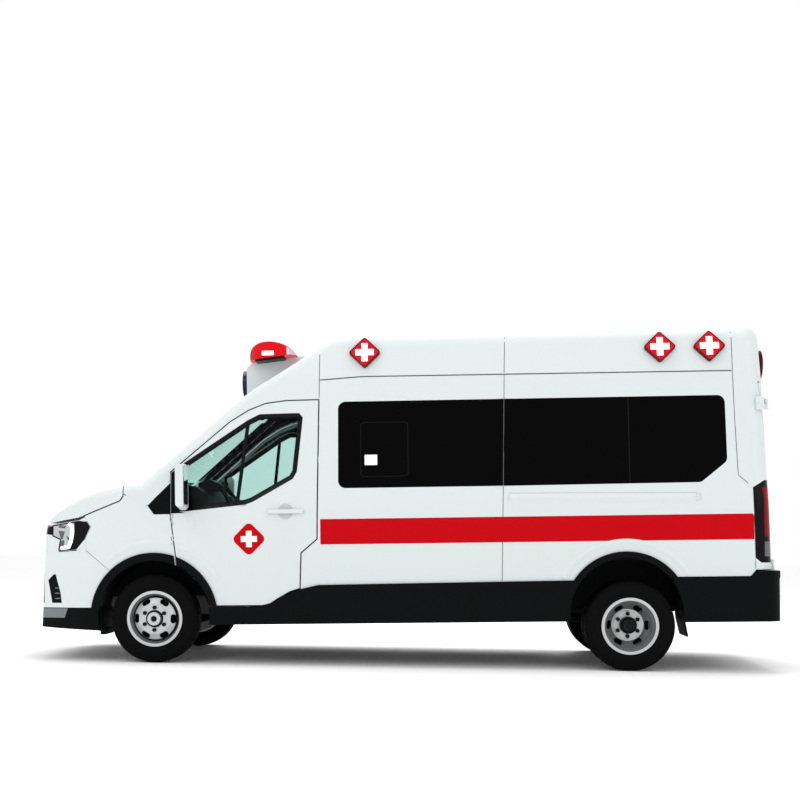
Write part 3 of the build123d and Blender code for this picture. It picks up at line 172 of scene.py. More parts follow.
# New pieces
def place(name, mesh, look, body):
    """Puts a mesh in the scene, smooth, on one of the CAD bodies."""
    mesh.materials.append(look)
    for poly in mesh.polygons:
        poly.use_smooth = True
    made = bpy.data.objects.new(name, mesh)
    bpy.context.scene.collection.objects.link(made)
    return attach(made, body)


def piece(name, verts, faces, look, body):
    mesh = bpy.data.meshes.new(name)
    mesh.from_pydata([tuple(v) for v in verts], [], faces)
    return place(name, mesh, look, body)


def from_bmesh(name, bm, look, body):
    mesh = bpy.data.meshes.new(name)
    bm.to_mesh(mesh)
    bm.free()
    return place(name, mesh, look, body)


# Flat outlines and lines, millimetres and degrees
def arc(u, v, radius, start, end, count=40):
    angles = [radians(start + (end - start) * i / count) for i in range(count + 1)]
    return [(u + radius * cos(a), v + radius * sin(a)) for a in angles]


def ring(u, v, radius, count=32):
    return arc(u, v, radius, 0, 360, count)[:-1]


def rounded(u, v, width, height, radius, turn=0.0, steps=5):
    """A box with round corners, turned about its middle."""
    out = []
    for k, (su, sv) in enumerate(((1, 1), (-1, 1), (-1, -1), (1, -1))):
        cu, cv = su * (width / 2 - radius), sv * (height / 2 - radius)
        out += arc(cu, cv, radius, 90 * k, 90 * k + 90, steps)
    c, s = cos(radians(turn)), sin(radians(turn))
    return [(u + c * a - s * b, v + s * a + c * b) for a, b in out]


def plus(u, v, size, arm):
    """A plus sign; arm is the width of its arms."""
    h, a = size / 2, arm / 2
    quarter = ((a, h), (-a, h), (-a, a))
    out = []
    for _ in range(4):
        out += quarter
        quarter = [(-q, p) for p, q in quarter]
    return [(u + p, v + q) for p, q in out]


def resampled(points, step, closed):
    """The same line with points no further apart than about a step."""
    ends = [Vector(p) for p in points]
    if closed:
        ends.append(ends[0])
    out = []
    for a, b in zip(ends, ends[1:]):
        count = max(1, int((b - a).length / step))
        out += [a.lerp(b, k / count) for k in range(count)]
    return out if closed else [*out, ends[-1]]


# Dropping points on the CAD
TREES = {}
INSIDE = {"inner_left": LEFT, "inner_right": RIGHT}
# Where a drop starts: outside a flank, ahead of the nose, behind the tail, and low in the cab
FLANK_START = 1600
NOSE_START = -1600
TAIL_START = 5600
CAB_START = 1500


def tree_of(names):
    """One search tree over the named CAD nodes, made once."""
    if names not in TREES:
        verts, faces = [], []
        for name in names.split():
            start = len(verts)
            mesh = NODES[name].data
            verts += [v.co.copy() for v in mesh.vertices]
            faces += [[start + i for i in p.vertices] for p in mesh.polygons]
        TREES[names] = BVHTree.FromPolygons(verts, faces)
    return TREES[names]


def drop(view, u, v, names, lift):
    """Where a view's point lands on the nodes, lifted off them.

    The point is (x, z) from a side or from inside the cab, (x, y) from the cab upward,
    and (y, z) from the front or rear.
    """
    if view in (LEFT, RIGHT):
        start, way = at(u, view * FLANK_START, v), Vector((0, -view, 0))
    elif view in INSIDE:
        start, way = at(u, 0, v), Vector((0, INSIDE[view], 0))
    elif view == "up":
        start, way = at(u, v, CAB_START), Vector((0, 0, 1))
    elif view == "front":
        start, way = at(NOSE_START, u, v), BACKWARD
    else:
        start, way = at(TAIL_START, u, v), -BACKWARD
    hit, normal, _, _ = tree_of(names).ray_cast(start, way)
    if hit is None:
        return None
    if normal.dot(way) > 0:
        normal = -normal
    return hit + normal * lift * MM


# Sheets and strips laid on the CAD
CUT_NEAR = 1e-4
# Heights across a ribbon
FLAT = (0.9, 0.9)
RAISED = (0.2, 3.5, 5.5, 3.5, 0.2)
# A bridge's sampling along its line, and how far to each side it looks for a panel
BRIDGE_STEP = 30.0
BRIDGE_REACH = 15
# An arch wall: where the flare is felt outside the wall's radius, its inset from the flare's face, its depth
WALL_REACH = 24
WALL_INSET = 3
WALL_DEPTH = 95.0


def decal(name, points, view, names, look, body, lift=1.2, step=60.0):
    """A thin sheet laid on the body: an outline seen from one view, cut into a grid and dropped on."""
    bm = bmesh.new()
    bm.faces.new([bm.verts.new((u, v, 0)) for u, v in points])
    for axis in (0, 1):
        values = [p[axis] for p in points]
        low, high = min(values), max(values)
        for k in range(1, int((high - low) / step) + 1):
            spot, normal = [0, 0, 0], [0, 0, 0]
            spot[axis], normal[axis] = low + k * step, 1
            whole = bm.verts[:] + bm.edges[:] + bm.faces[:]
            bmesh.ops.bisect_plane(bm, geom=whole, plane_co=spot, plane_no=normal, dist=CUT_NEAR)
    bmesh.ops.triangulate(bm, faces=bm.faces[:])
    lost = []
    for v in bm.verts:
        spot = drop(view, v.co.x, v.co.y, names, lift)
        if spot is None:
            lost.append(v)
        else:
            v.co = spot
    bmesh.ops.delete(bm, geom=lost, context="VERTS")
    bmesh.ops.recalc_face_normals(bm, faces=bm.faces[:])
    return from_bmesh(name, bm, look, body)


def ribbon(name, points, view, names, body, width=7.0, look=SEAM, rows=FLAT, closed=False, step=40.0):
    """A band along a line, dropped on the body; rows are its heights across the width."""
    line = resampled(points, step, closed)
    n = len(line)
    verts, faces = [], []
    for i, p in enumerate(line):
        before = line[i - 1] if closed or i else p
        after = line[(i + 1) % n] if closed or i < n - 1 else p
        way = (after - before).normalized()
        for k, height in enumerate(rows):
            shift = (k / (len(rows) - 1) - 0.5) * width
            verts.append(drop(view, p.x - way.y * shift, p.y + way.x * shift, names, height))
    for i in range(n if closed else n - 1):
        for k in range(len(rows) - 1):
            a, b = i * len(rows) + k, (i + 1) % n * len(rows) + k
            quad = (a, a + 1, b + 1, b)
            if all(verts[q] is not None for q in quad):
                faces.append(quad if view in (LEFT, "rear") else quad[::-1])
    used = sorted({q for quad in faces for q in quad})
    place_of = {q: k for k, q in enumerate(used)}
    kept = [[place_of[q] for q in quad] for quad in faces]
    return piece(name, [verts[q] for q in used], kept, look, body)


def strip_faces(verts):
    """Faces of a strip whose points come in pairs across it."""
    return [(k, k + 1, k + 3, k + 2) for k in range(0, len(verts) - 2, 2)]


def bridge(name, points, view, names, body, look=SEAL, width=7.0, lift=0.8):
    """A strip over a shut line, carried by the panels on its two sides."""
    line = resampled(points, BRIDGE_STEP, False)
    verts = []
    for i, p in enumerate(line):
        way = (line[min(i + 1, len(line) - 1)] - line[max(i - 1, 0)]).normalized()
        across = Vector((-way.y, way.x)) * BRIDGE_REACH
        a = drop(view, p.x + across.x, p.y + across.y, names, lift)
        b = drop(view, p.x - across.x, p.y - across.y, names, lift)
        if a and b:
            half = (a - b).normalized() * width / 2 * MM
            verts += [(a + b) / 2 + half, (a + b) / 2 - half]
    return piece(name, verts, strip_faces(verts), look, body)


def arch_wall(name, centre, radius, start, end, side, names, body):
    """A black wall inside a wheel arch, from just under the flare's face inward."""
    verts = []
    for u, v in arc(*centre, radius, start, end):
        out = Vector((u, v)) + (Vector((u, v)) - Vector(centre)).normalized() * WALL_REACH
        rim = drop(side, out.x, out.y, names, 0)
        if rim:
            edge = rim.y / MM - side * WALL_INSET
            verts += [at(u, edge, v), at(u, edge - side * WALL_DEPTH, v)]
    return piece(name, verts, strip_faces(verts), BLACK, body)


# Solid shapes
def block(name, centre, size, look, body, bevel=0.0, turn=RAKE):
    """A box with rounded edges: centre in body millimetres, size along the body's axes."""
    bm = bmesh.new()
    bmesh.ops.create_cube(bm, size=MM)
    for v in bm.verts:
        v.co = Vector((v.co.x * size[0], v.co.y * size[1], v.co.z * size[2]))
    if bevel:
        bmesh.ops.bevel(bm, geom=bm.edges[:], offset=bevel * MM, segments=3, profile=0.5, affect="EDGES")
    bm.transform(Matrix.Translation(at(*centre)) @ Matrix.Rotation(-turn, 4, "Y"))
    return from_bmesh(name, bm, look, body)


def lathe(name, profile, centres, way, look, body, count=96, cut=None):
    """Spins (offset outward, radius) pairs, millimetres, about lines along Y; cut(i, k) lowers a radius."""
    verts, faces = [], []
    n = len(profile)
    for centre in centres:
        start = len(verts)
        for i in range(count):
            a = 2 * pi * i / count
            for k, (offset, r) in enumerate(profile):
                if cut:
                    r -= cut(i, k)
                verts.append(centre + Vector((r * cos(a), way * offset, r * sin(a))) * MM)
        for i in range(count):
            j = (i + 1) % count
            for k in range(n - 1):
                quad = [start + q for q in (i * n + k, i * n + k + 1, j * n + k + 1, j * n + k)]
                faces.append(quad if way < 0 else quad[::-1])
    return piece(name, verts, faces, look, body)


# Wheels: treaded tyres in place of the plain ones, with nuts, hubs and brakes
TREAD_SEGMENTS = 160
TYRE_HALF = (
    # offset from the middle and radius, from the bead to the middle rib
    (75, 207), (79, 222), (84, 229), (92, 246), (96, 262), (97, 266), (95.5, 267.5), (97.5, 272), (98, 280),
    (97, 296), (94, 312), (91, 322), (89.5, 323), (88, 330), (84, 338), (79, 344), (70, 348), (60, 349.4),
    (57.5, 349.5), (57, 341), (51, 341), (50.5, 349.7), (24, 350), (23.5, 341), (17.5, 341), (17, 350),
)
TYRE_PROFILE = [*TYRE_HALF, *[(-o, r) for o, r in reversed(TYRE_HALF)]]
# One segment in so many is cut, shifted by one for each step of the offset
TREAD_PITCH = 5
TREAD_SHIFT = 9
SHOULDER = (58, 89)
SHOULDER_CUT = 4.0
RIB_EDGE = (20, 25)
RIB_CUT = 6.0


def tread(i, k):
    """How far the tread lowers the radius at segment i and profile point k."""
    offset = abs(TYRE_PROFILE[k][0])
    if (i + int(offset / TREAD_SHIFT)) % TREAD_PITCH:
        return 0.0
    if SHOULDER[0] < offset <= SHOULDER[1]:
        return SHOULDER_CUT
    return RIB_CUT if RIB_EDGE[0] < offset < RIB_EDGE[1] else 0.0


WHEELS = (
    # tag, axle x, wheel middle y, CAD body, CAD node
    ("front_left", X_FA, -TRACK_F, "wheel_front_left", "tyre_front_left"),
    ("front_right", X_FA, TRACK_F, "wheel_front_right", "tyre_front_right"),
    ("rear_left_out", X_RA, -TWIN_OUT, "wheels_rear_left", "tyres_rear_left"),
    ("rear_left_in", X_RA, -TWIN_IN, "wheels_rear_left", "tyres_rear_left"),
    ("rear_right_out", X_RA, TWIN_OUT, "wheels_rear_right", "tyres_rear_right"),
    ("rear_right_in", X_RA, TWIN_IN, "wheels_rear_right", "tyres_rear_right"),
)
NUT_COUNT = 6
NUT_RING = 89.0
NUT_SEGMENTS = 16
FRONT_NUT = ((80, 15.5), (103, 15.5), (105, 12), (105, 0))
REAR_NUT = ((-98, 15.5), (-67, 15.5), (-65, 12), (-65, 0))
# Fittings: name, profile of (offset outward, radius), look, segments
FRONT_FITTINGS = (
    ("hub_shade", ((84.6, 70), (86, 69), (86, 53)), BLACK_GLOSS, 48),
    ("hub_spot", ((114, 24), (115, 23), (115, 0)), BLACK_GLOSS, 24),
    # a black ring of painted shadow between the rim's barrel and its disc
    ("disc_shadow_ring", ((36, 184), (49, 177), (57, 167)), BLACK_GLOSS, 96),
    ("brake", ((14, 64), (14, 174), (2, 174)), CHASSIS, 48),
)
REAR_FITTINGS = (
    ("hub", ((-92, 67.5), (-24, 67.5), (11, 51.5), (11.5, 36)), BLACK_GLOSS, 48),
    ("drum", ((-150, 68), (-150, 172), (-170, 172)), CHASSIS, 48),
)
for tag, x, y, body, node in WHEELS:
    middle = Vector((x, y, AXLE_Z))
    out = LEFT if y < 0 else RIGHT
    made = lathe("tread_" + tag, TYRE_PROFILE, [middle], LEFT, RUBBER, body, TREAD_SEGMENTS, tread)
    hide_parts(node)
    if tag.endswith("_in"):
        continue
    front = tag.startswith("front")
    nut = FRONT_NUT if front else REAR_NUT
    fittings = FRONT_FITTINGS if front else REAR_FITTINGS
    turns = [radians(360 / NUT_COUNT * (k + 0.5)) for k in range(NUT_COUNT)]
    spots = [middle + Vector((NUT_RING * cos(a), 0, NUT_RING * sin(a))) * MM for a in turns]
    lathe("nuts_" + tag, nut, spots, out, BLACK_GLOSS, body, NUT_SEGMENTS)
    for name, profile, look, segments in fittings:
        lathe("%s_%s" % (name, tag), profile, [middle], out, look, body, segments)

# Wheel arches: centres of the openings
FRONT_ARCH = (10, 360)
REAR_ARCH = (3730, 355)

# Flanks: stripe, seams and panes, lines of (x, z)
STRIPE = ((1345, 924), (4716, 924), (4716, 1123), (1345, 1123))
SEAM_WIDTH = 5
MID_SEAM = ((2767, 622), (2785, 1363))
MID_SEAM_HIGH = ((2802, 2057), (2806, 2250))
ROOF_SEAM = ((2806, 2262), (2816, 2590))
FRONT_ROOF_SEAM = ((1338, 2090), (1340, 2253), (1342, 2530))
REAR_SEAM = ((4722, 700), (4722, 780), (4712, 1327), (4604, 1424), (4592, 1839), (4587, 2253), (4594, 2600))
GUTTER = ((1345, 2232), (1680, 2254), (4580, 2247))
GUTTER_WIDTH = 9
PANE_JOINT = ((2722, 1366), (2850, 1366), (2862, 2054), (2738, 2054))
PANE_SEAM = ((2786, 1368), (2801, 2052))
# The joint lies over the panes' edges, and its seam over the joint
PANE_LIFT = 4
PANE_SEAM_ROWS = (5.2, 5.2)
PANE_SEAM_WIDTH = 6
PANE_DIVIDER = ((3770, 1374), (3770, 2050))
DIVIDER_WIDTH = 8
VENT = rounded(1854, 1670, 374, 430, 30)
VENT_WIDTH = 6


def side_seams(side, tag, panels):
    roofed = panels + " roof_panel cab_frame rear_frame"
    joined = panels + " side_glass"
    decal("stripe_" + tag, STRIPE, side, panels, RED, "body")
    ribbon("mid_seam_" + tag, MID_SEAM, side, panels, "body", SEAM_WIDTH)
    ribbon("mid_seam_high_" + tag, MID_SEAM_HIGH, side, panels, "body", SEAM_WIDTH)
    decal("pane_joint_" + tag, PANE_JOINT, side, joined, TINT, "body", lift=PANE_LIFT, step=12)
    ribbon("pane_seam_" + tag, PANE_SEAM, side, joined, "body", PANE_SEAM_WIDTH, SEAM, PANE_SEAM_ROWS)
    ribbon("pane_divider_" + tag, PANE_DIVIDER, side, "side_glass", "body", DIVIDER_WIDTH, SEAL)
    ribbon("vent_" + tag, VENT, side, "side_glass", "body", VENT_WIDTH, SEAL, closed=True)
    ribbon("gutter_" + tag, GUTTER, side, roofed, "body", GUTTER_WIDTH)
    ribbon("roof_seam_" + tag, ROOF_SEAM, side, "roof_panel", "body", SEAM_WIDTH)
    ribbon("front_roof_seam_" + tag, FRONT_ROOF_SEAM, side, roofed, "body", SEAM_WIDTH)
    ribbon("rear_seam_" + tag, REAR_SEAM, side, roofed, "body", SEAM_WIDTH)


# Pressings: the rib behind the middle seam, with a painted shadow line round its upper edge and rear end, and
# the creases over the wheels
RIB = ((2830, 1274), (4276, 1258))
RIB_WIDTH = 60
RIB_ROWS = (0.2, 5, 7, 7, 5, 0.2)
# A grey line of painted shadow along the rib's upper edge and round its rear end
RIB_SHADOW_LINE = ((2830, 1308), (4270, 1292), (4310, 1278), (4312, 1238), (4276, 1226))
REAR_CREASE = arc(*REAR_ARCH, 565, 28, 150)
FRONT_CREASE = arc(*FRONT_ARCH, 594, 74, 148)
DOOR_CREASE = arc(*FRONT_ARCH, 594, 30, 70)
CREASE_WIDTH = 46


def pressings(side, tag, panels, door):
    ribbon("rib_" + tag, RIB, side, panels, "body", RIB_WIDTH, WHITE, RIB_ROWS)
    # the rib's line of painted shadow, in flat grey
    ribbon("rib_shadow_line_" + tag, RIB_SHADOW_LINE, side, panels, "body", SEAM_WIDTH, PAINTED_SHADE)
    ribbon("rear_crease_" + tag, REAR_CREASE, side, panels, "body", CREASE_WIDTH, WHITE, RAISED)
    ribbon("front_crease_" + tag, FRONT_CREASE, side, "fenders", "body", CREASE_WIDTH, WHITE, RAISED)
    ribbon("door_crease_" + tag, DOOR_CREASE, side, door, door, CREASE_WIDTH, WHITE, RAISED)


# Cab door: window frame and shut lines
WINDOW_EDGE = (
    (245, 1211), (748, 1260), (806, 1281), (1119, 1456), (1147, 1507), (1193, 1932), (1174, 1955),
    (866, 1951), (773, 1905), (249, 1560),
)
WINDOW_BAR = ((772, 1916), (684, 1240))
WINDOW_WIDTH = 30
BAR_ROWS = (0.9, 5, 0.9)
DOOR_LINE = (
    (152, 1512), (626, 1909), (773, 1998), (908, 2051), (1079, 2072), (1335, 2074), (1318, 968),
    (1190, 859), (1179, 590),
)
DOOR_LIFT = 1.5
DOOR_FRONT = ((190, 860), (152, 1178))
GAP_WIDTH = 8
GAP_ROWS = (0.4, 0.4)
GAP_STEP = 8
HOOD_LINE = ((-843, 1121), (-597, 1159), (-256, 1290), (-229, 1328))
PILLAR_FOOT = ((-205, 1334), (-44, 1254))
PILLAR_WIDTH = 22


def door_lines(side, tag, panels, door, framed):
    around = " ".join((door, "door_trim_" + tag, "cladding_" + tag, "fenders cab_frame cowl", panels))
    ribbon("window_edge_" + tag, WINDOW_EDGE, side, framed, door, WINDOW_WIDTH, BLACK_GLOSS, closed=True)
    ribbon("window_bar_" + tag, WINDOW_BAR, side, framed, door, WINDOW_WIDTH, BLACK_GLOSS, BAR_ROWS)
    bridge("door_seal_" + tag, DOOR_LINE, side, around, door, lift=DOOR_LIFT)
    ribbon("fender_gap_" + tag, DOOR_FRONT, side, "fenders", "body", GAP_WIDTH, SEAL, GAP_ROWS, step=GAP_STEP)
    ribbon("door_gap_" + tag, DOOR_FRONT, side, door, door, GAP_WIDTH, SEAL, GAP_ROWS, step=GAP_STEP)
    bridge("hood_seal_" + tag, HOOD_LINE, side, "hood fenders", "body")
    bridge("pillar_foot_" + tag, PILLAR_FOOT, side, "fenders cab_frame", "body", WHITE, PILLAR_WIDTH)


# Cab trim, dropped outward and upward from inside the cab
DOOR_CARD = (
    (240, 830), (190, 1178), (190, 1500), (640, 1880), (790, 1965), (920, 2015), (1085, 2035), (1295, 2035),
    (1280, 985), (1150, 880), (1140, 600), (480, 600),
)
PILLAR_TRIM = (
    (-100, 1300), (150, 1200), (150, 1515), (620, 1912), (770, 2003), (905, 2056), (1080, 2080),
    (1320, 2080), (1320, 2400), (600, 2300),
)
CEILING = ((560, -860), (1320, -860), (1320, 860), (560, 860))
INNER_WIDTH = 50


def cab_trim(tag, door, framed):
    inner = "inner_" + tag
    decal("door_card_" + tag, DOOR_CARD, inner, door, CAB, door, step=12)
    ribbon("window_inner_" + tag, WINDOW_EDGE, inner, framed, door, INNER_WIDTH, CAB, closed=True)
    decal("pillar_trim_" + tag, PILLAR_TRIM, inner, "cab_frame", CAB, "body", step=10)


# Cab door: belt moulding, handle over a grey oval of painted shade for its recess, and a plain plus sign
BELT = (
    (158, 1183), (270, 1187), (520, 1211), (758, 1240), (748, 1250), (230, 1198), (230, 1562), (158, 1508),
)
HANDLE_X, HANDLE_Y, HANDLE_Z = 1072, 1014, 1187
HANDLE_SIZE = (292, 20, 34)
# A grey oval of painted shade behind the handle, for its recess
HANDLE_SHADE_OVAL = ring(HANDLE_X, HANDLE_Z, 62)
HANDLE_BEVEL = 9
# The handle's feet: their places along it from its middle, and their own depth and size
HANDLE_FEET = (-118, 118)
HANDLE_FOOT_Y = 1002
HANDLE_FOOT_SIZE = (40, 26, 34)
MARK = (779, 974)
DOOR_MARK = rounded(*MARK, 196, 196, 40, 45)
DOOR_PLUS = plus(*MARK, 128, 46)
PLUS_LIFT = 2.2


def door_fittings(side, tag, door):
    decal("window_belt_" + tag, BELT, side, door, BLACK, door)
    # the handle's recess, as a flat grey oval of painted shade
    decal("handle_shade_" + tag, HANDLE_SHADE_OVAL, side, door, PAINTED_SHADE, door, step=30)
    block("handle_" + tag, (HANDLE_X, side * HANDLE_Y, HANDLE_Z), HANDLE_SIZE, WHITE, door, HANDLE_BEVEL)
    for end in HANDLE_FEET:
        foot = (HANDLE_X + end, side * HANDLE_FOOT_Y, HANDLE_Z)
        block("handle_foot_%s_%d" % (tag, end > 0), foot, HANDLE_FOOT_SIZE, WHITE, door, 6)
    decal("door_mark_" + tag, DOOR_MARK, side, door, RED, door, step=40)
    decal("door_plus_" + tag, DOOR_PLUS, side, door, STICKER, door, lift=PLUS_LIFT, step=40)


FLANKS = (
    # side, tag, panels, door
    (LEFT, "left", "side_panel_left_front side_panel_left_rear", "door_left"),
    (RIGHT, "right", "sliding_door_right side_panel_right_rear", "door_right"),
)
for side, tag, panels, door in FLANKS:
    framed = "door_glass_%s %s" % (tag, door)
    side_seams(side, tag, panels)
    pressings(side, tag, panels, door)
    door_lines(side, tag, panels, door, framed)
    cab_trim(tag, door, framed)
    door_fittings(side, tag, door)

# Single pieces: the cab's ceiling, a blank sticker on the left, the sliding door's rail and handle
WINDOW_STICKER = rounded(1748, 1586, 100, 82, 4)
SLIDE_RAIL = ((2810, 1206), (4560, 1190))
SLIDE_RAIL_WIDTH = 24
SLIDE_HANDLE_AT = (1470, 1014, 1180)
SLIDE_HANDLE_SIZE = (56, 22, 190)
decal("ceiling", CEILING, "up", "cab_frame roof_panel", CAB, "body")
decal("window_sticker", WINDOW_STICKER, LEFT, "side_glass", STICKER, "body", lift=1.5)
ribbon("slide_rail", SLIDE_RAIL, RIGHT, "side_panel_right_rear", "body", SLIDE_RAIL_WIDTH, BLACK)
block("slide_handle", SLIDE_HANDLE_AT, SLIDE_HANDLE_SIZE, BLACK, "body", HANDLE_BEVEL)

# Black walls inside the wheel arches; the door carries its own share of the front one
ARCH_WALLS = (
    # name, centre, radius, first and last angle, whether the door carries it
    ("front", FRONT_ARCH, 449, 66, 188, False),
    ("door", FRONT_ARCH, 449, 13, 64, True),
    ("rear", REAR_ARCH, 434, -6, 186, False),
)
for side, tag in SIDES:
    flared = "cladding_%s door_trim_%s front_bumper lower_bumper rear_bumper" % (tag, tag)
    for name, centre, radius, start, end, on_door in ARCH_WALLS:
        body = "door_" + tag if on_door else "body"
        arch_wall("arch_%s_%s" % (name, tag), centre, radius, start, end, side, flared, body)

# Emergency lamps: lit plus signs on the side ones
# On the bar: a black front, a clear rear end, a lit patch and a foot
SIDE_LAMPS = (1702, 4029, 4414)
LAMP_Z = 2448
# Width, height, corner and turn of a lamp's face; size and arm of its sign
LAMP_FACE = (164, 164, 18, 45)
LAMP_SIGN = (146, 48)
SIGN_LIFT = 2.4
BAR_FRONT = ((730, 2450), (752, 2450), (752, 2536), (730, 2536))
BAR_REAR = ((1046, 2480), (1118, 2484), (1078, 2524), (1046, 2540))
BAR_PATCH = rounded(894, 2492, 96, 34, 6)
BAR_FOOT_AT = (900, 0, 2450)
BAR_FOOT_SIZE = (240, 1230, 18)
BAR_SLOPE = radians(6.2)
for side, tag in SIDES:
    for lamp_x in SIDE_LAMPS:
        label = "%s_%d" % (tag, lamp_x)
        face = rounded(lamp_x, LAMP_Z, *LAMP_FACE)
        decal("lamp_face_" + label, face, side, "warning_lamps", LAMP_RED, "body", step=30)
        sign = plus(lamp_x, LAMP_Z, *LAMP_SIGN)
        decal("lamp_plus_" + label, sign, side, "warning_lamps", LAMP_LIT, "body", lift=SIGN_LIFT, step=30)
    decal("bar_front_" + tag, BAR_FRONT, side, "light_bar", BLACK_GLOSS, "body", step=10)
    decal("bar_rear_" + tag, BAR_REAR, side, "light_bar", LAMP_CLEAR, "body", step=10)
    decal("bar_patch_" + tag, BAR_PATCH, side, "light_bar", LAMP_LIT, "body", step=10)
block("bar_foot", BAR_FOOT_AT, BAR_FOOT_SIZE, BLACK_GLOSS, "body", 6, RAKE + BAR_SLOPE)

# Head lamps: bright front with dark facets and a light strip, black rear part and outline
LAMP_NODES = "headlamps front_bumper fenders"
LAMP_EDGE = (
    (-832, 1100), (-602, 1132), (-532, 1122), (-509, 1086), (-556, 990), (-626, 911), (-780, 903),
    (-762, 990), (-835, 1021),
)
EDGE_WIDTH = 10
EDGE_ROWS = (1.8, 1.8)
LAMP_BLACK = (
    (-640, 1132), (-600, 1137), (-531, 1126), (-504, 1086), (-553, 987), (-625, 907), (-690, 904),
    (-652, 970), (-636, 1050),
)
LAMP_FACETS = (
    ((-780, 1085), (-768, 1104), (-713, 1100), (-720, 1077)),
    ((-779, 1060), (-724, 1054), (-743, 991), (-762, 995)),
    ((-772, 970), (-736, 987), (-727, 969), (-741, 920), (-776, 918)),
    ((-704, 1019), (-686, 1003), (-689, 976), (-707, 1005)),
)
LAMP_STRIP = ((-683, 1120), (-658, 1091), (-661, 1019), (-673, 965), (-689, 930), (-760, 916))
STRIP_WIDTH = 30
STRIP_ROWS = (1.2, 3, 1.2)
# Covers over the lamps' front parts, from the side as far as the nose's corner
CORNER_X = -922
LAMP_COVER = ((CORNER_X, 872), (-782, 884), (-764, 994), (-837, 1027), (CORNER_X, 1036))
LAMP_LINK = ((CORNER_X, 1036), (-837, 1027), (-828, 1112), (CORNER_X, 1106))
FOG_COVER = ((CORNER_X, 472), (-845, 472), (-882, 664), (-822, 718), (CORNER_X, 692))
FRONT_COVERS = (
    # the same covers carried on across the front: name, y from and to, z from and to, look
    ("lamp_cover", 584, 836, 870, 1036, WHITE),
    ("lamp_link", 584, 836, 1034, 1112, BLACK_GLOSS),
    ("fog_cover", 708, 800, 468, 716, WHITE),
)
# Panel corners behind the lamp, from its edge to the fender and the bumper
LAMP_CORNERS = (
    ((-596, 1140), (-548, 1132), (-541, 1138), (-541, 1166)),
    ((-555, 981), (-585, 947), (-620, 907), (-616, 895), (-540, 890), (-540, 985)),
)
CORNER_LIFT = 2.2
# A grid step larger than any corner, which leaves each one whole
UNCUT = 500


def nose_covers(side, tag):
    decal("lamp_cover_" + tag, LAMP_COVER, side, LAMP_NODES, WHITE, "body", step=14)
    decal("lamp_link_" + tag, LAMP_LINK, side, LAMP_NODES, BLACK_GLOSS, "body", step=14)
    decal("fog_cover_" + tag, FOG_COVER, side, "lower_bumper front_bumper", WHITE, "body", step=14)
    across = LAMP_NODES + " lower_bumper"
    for name, near, far, low, high, look in FRONT_COVERS:
        patch = ((side * near, low), (side * far, low), (side * far, high), (side * near, high))
        decal("%s_front_%s" % (name, tag), patch, "front", across, look, "body", step=14)


def lamp_detail(side, tag):
    lamp = "headlamps"
    ribbon("lamp_edge_" + tag, LAMP_EDGE, side, lamp, "body", EDGE_WIDTH, BLACK_GLOSS, EDGE_ROWS, True, 10)
    ribbon("lamp_strip_" + tag, LAMP_STRIP, side, lamp, "body", STRIP_WIDTH, LAMP_LIT, STRIP_ROWS, step=10)
    for k, facet in enumerate(LAMP_FACETS):
        decal("lamp_facet_%s_%d" % (tag, k), facet, side, lamp, LAMP_SMOKE, "body", step=20)
    for k, corner in enumerate(LAMP_CORNERS):
        label = "lamp_corner_%s_%d" % (tag, k)
        decal(label, corner, side, LAMP_NODES, WHITE, "body", lift=CORNER_LIFT, step=UNCUT)


# Fog lamp ribs, and a dam and a wall ahead of the front wheels
FOG_LEVELS = (516, 558, 600)
FOG_X = (-816, -768)
FOG_WIDTH = 9
WHEEL_BLOCKS = (
    # name, x, y, z, size, bevel
    ("wheel_dam", -416, 800, 248, (46, 250, 46), 8),
    ("wheel_well", -436, 750, 346, (16, 330, 190), 4),
)


def front_opening(side, tag):
    for level in FOG_LEVELS:
        rib = [(x, level) for x in FOG_X]
        label = "fog_rib_%s_%d" % (tag, level)
        ribbon(label, rib, side, "lower_bumper", "body", FOG_WIDTH, GREY_TRIM, RAISED, step=12)
    for name, x, y, z, size, bevel in WHEEL_BLOCKS:
        block("%s_%s" % (name, tag), (x, side * y, z), size, BLACK, "body", bevel)


for side, tag in SIDES:
    decal("lamp_black_" + tag, LAMP_BLACK, side, "headlamps", BLACK_GLOSS, "body", step=12)
    nose_covers(side, tag)
    lamp_detail(side, tag)
    front_opening(side, tag)

# Tail lamps: red upper band and smoked lower one round the corner; hinge covers and rear lamps above
TAIL_BANDS = (
    # name, z from and to, look
    ("red", 943, 1327, TAIL_RED),
    ("clear", 790, 905, LAMP_SMOKE),
)
TAIL_X = (4796, 4856)
TAIL_Y = (884, 972)
HINGE_X, HINGE_Y, HINGE_Z = 4790, 902, 1985
HINGE_SIZE = (66, 50, 104)
REAR_LAMP_Y, REAR_LAMP_Z, REAR_LAMP_R = 560, 2325, 92
REAR_HANDLE_AT = (4862, 62, 1130)
REAR_HANDLE_SIZE = (26, 60, 150)


def tail_band(name, view, near, far, low, high, look):
    band = ((near, low), (far, low), (far, high), (near, high))
    decal(name, band, view, "tail_lamps", look, "body", step=18)


for side, tag in SIDES:
    for name, low, high, look in TAIL_BANDS:
        tail_band("tail_%s_side_%s" % (name, tag), side, *TAIL_X, low, high, look)
        near, far = [side * y for y in TAIL_Y]
        tail_band("tail_%s_rear_%s" % (name, tag), "rear", near, far, low, high, look)
    block("hinge_cover_" + tag, (HINGE_X, side * HINGE_Y, HINGE_Z), HINGE_SIZE, WHITE, "body", 12)
    rear_lamp = ring(side * REAR_LAMP_Y, REAR_LAMP_Z, REAR_LAMP_R)
    decal("rear_lamp_face_" + tag, rear_lamp, "rear", "warning_lamps", TAIL_RED, "body", step=30)
block("rear_handle", REAR_HANDLE_AT, REAR_HANDLE_SIZE, BLACK, "rear_door_right", HANDLE_BEVEL)

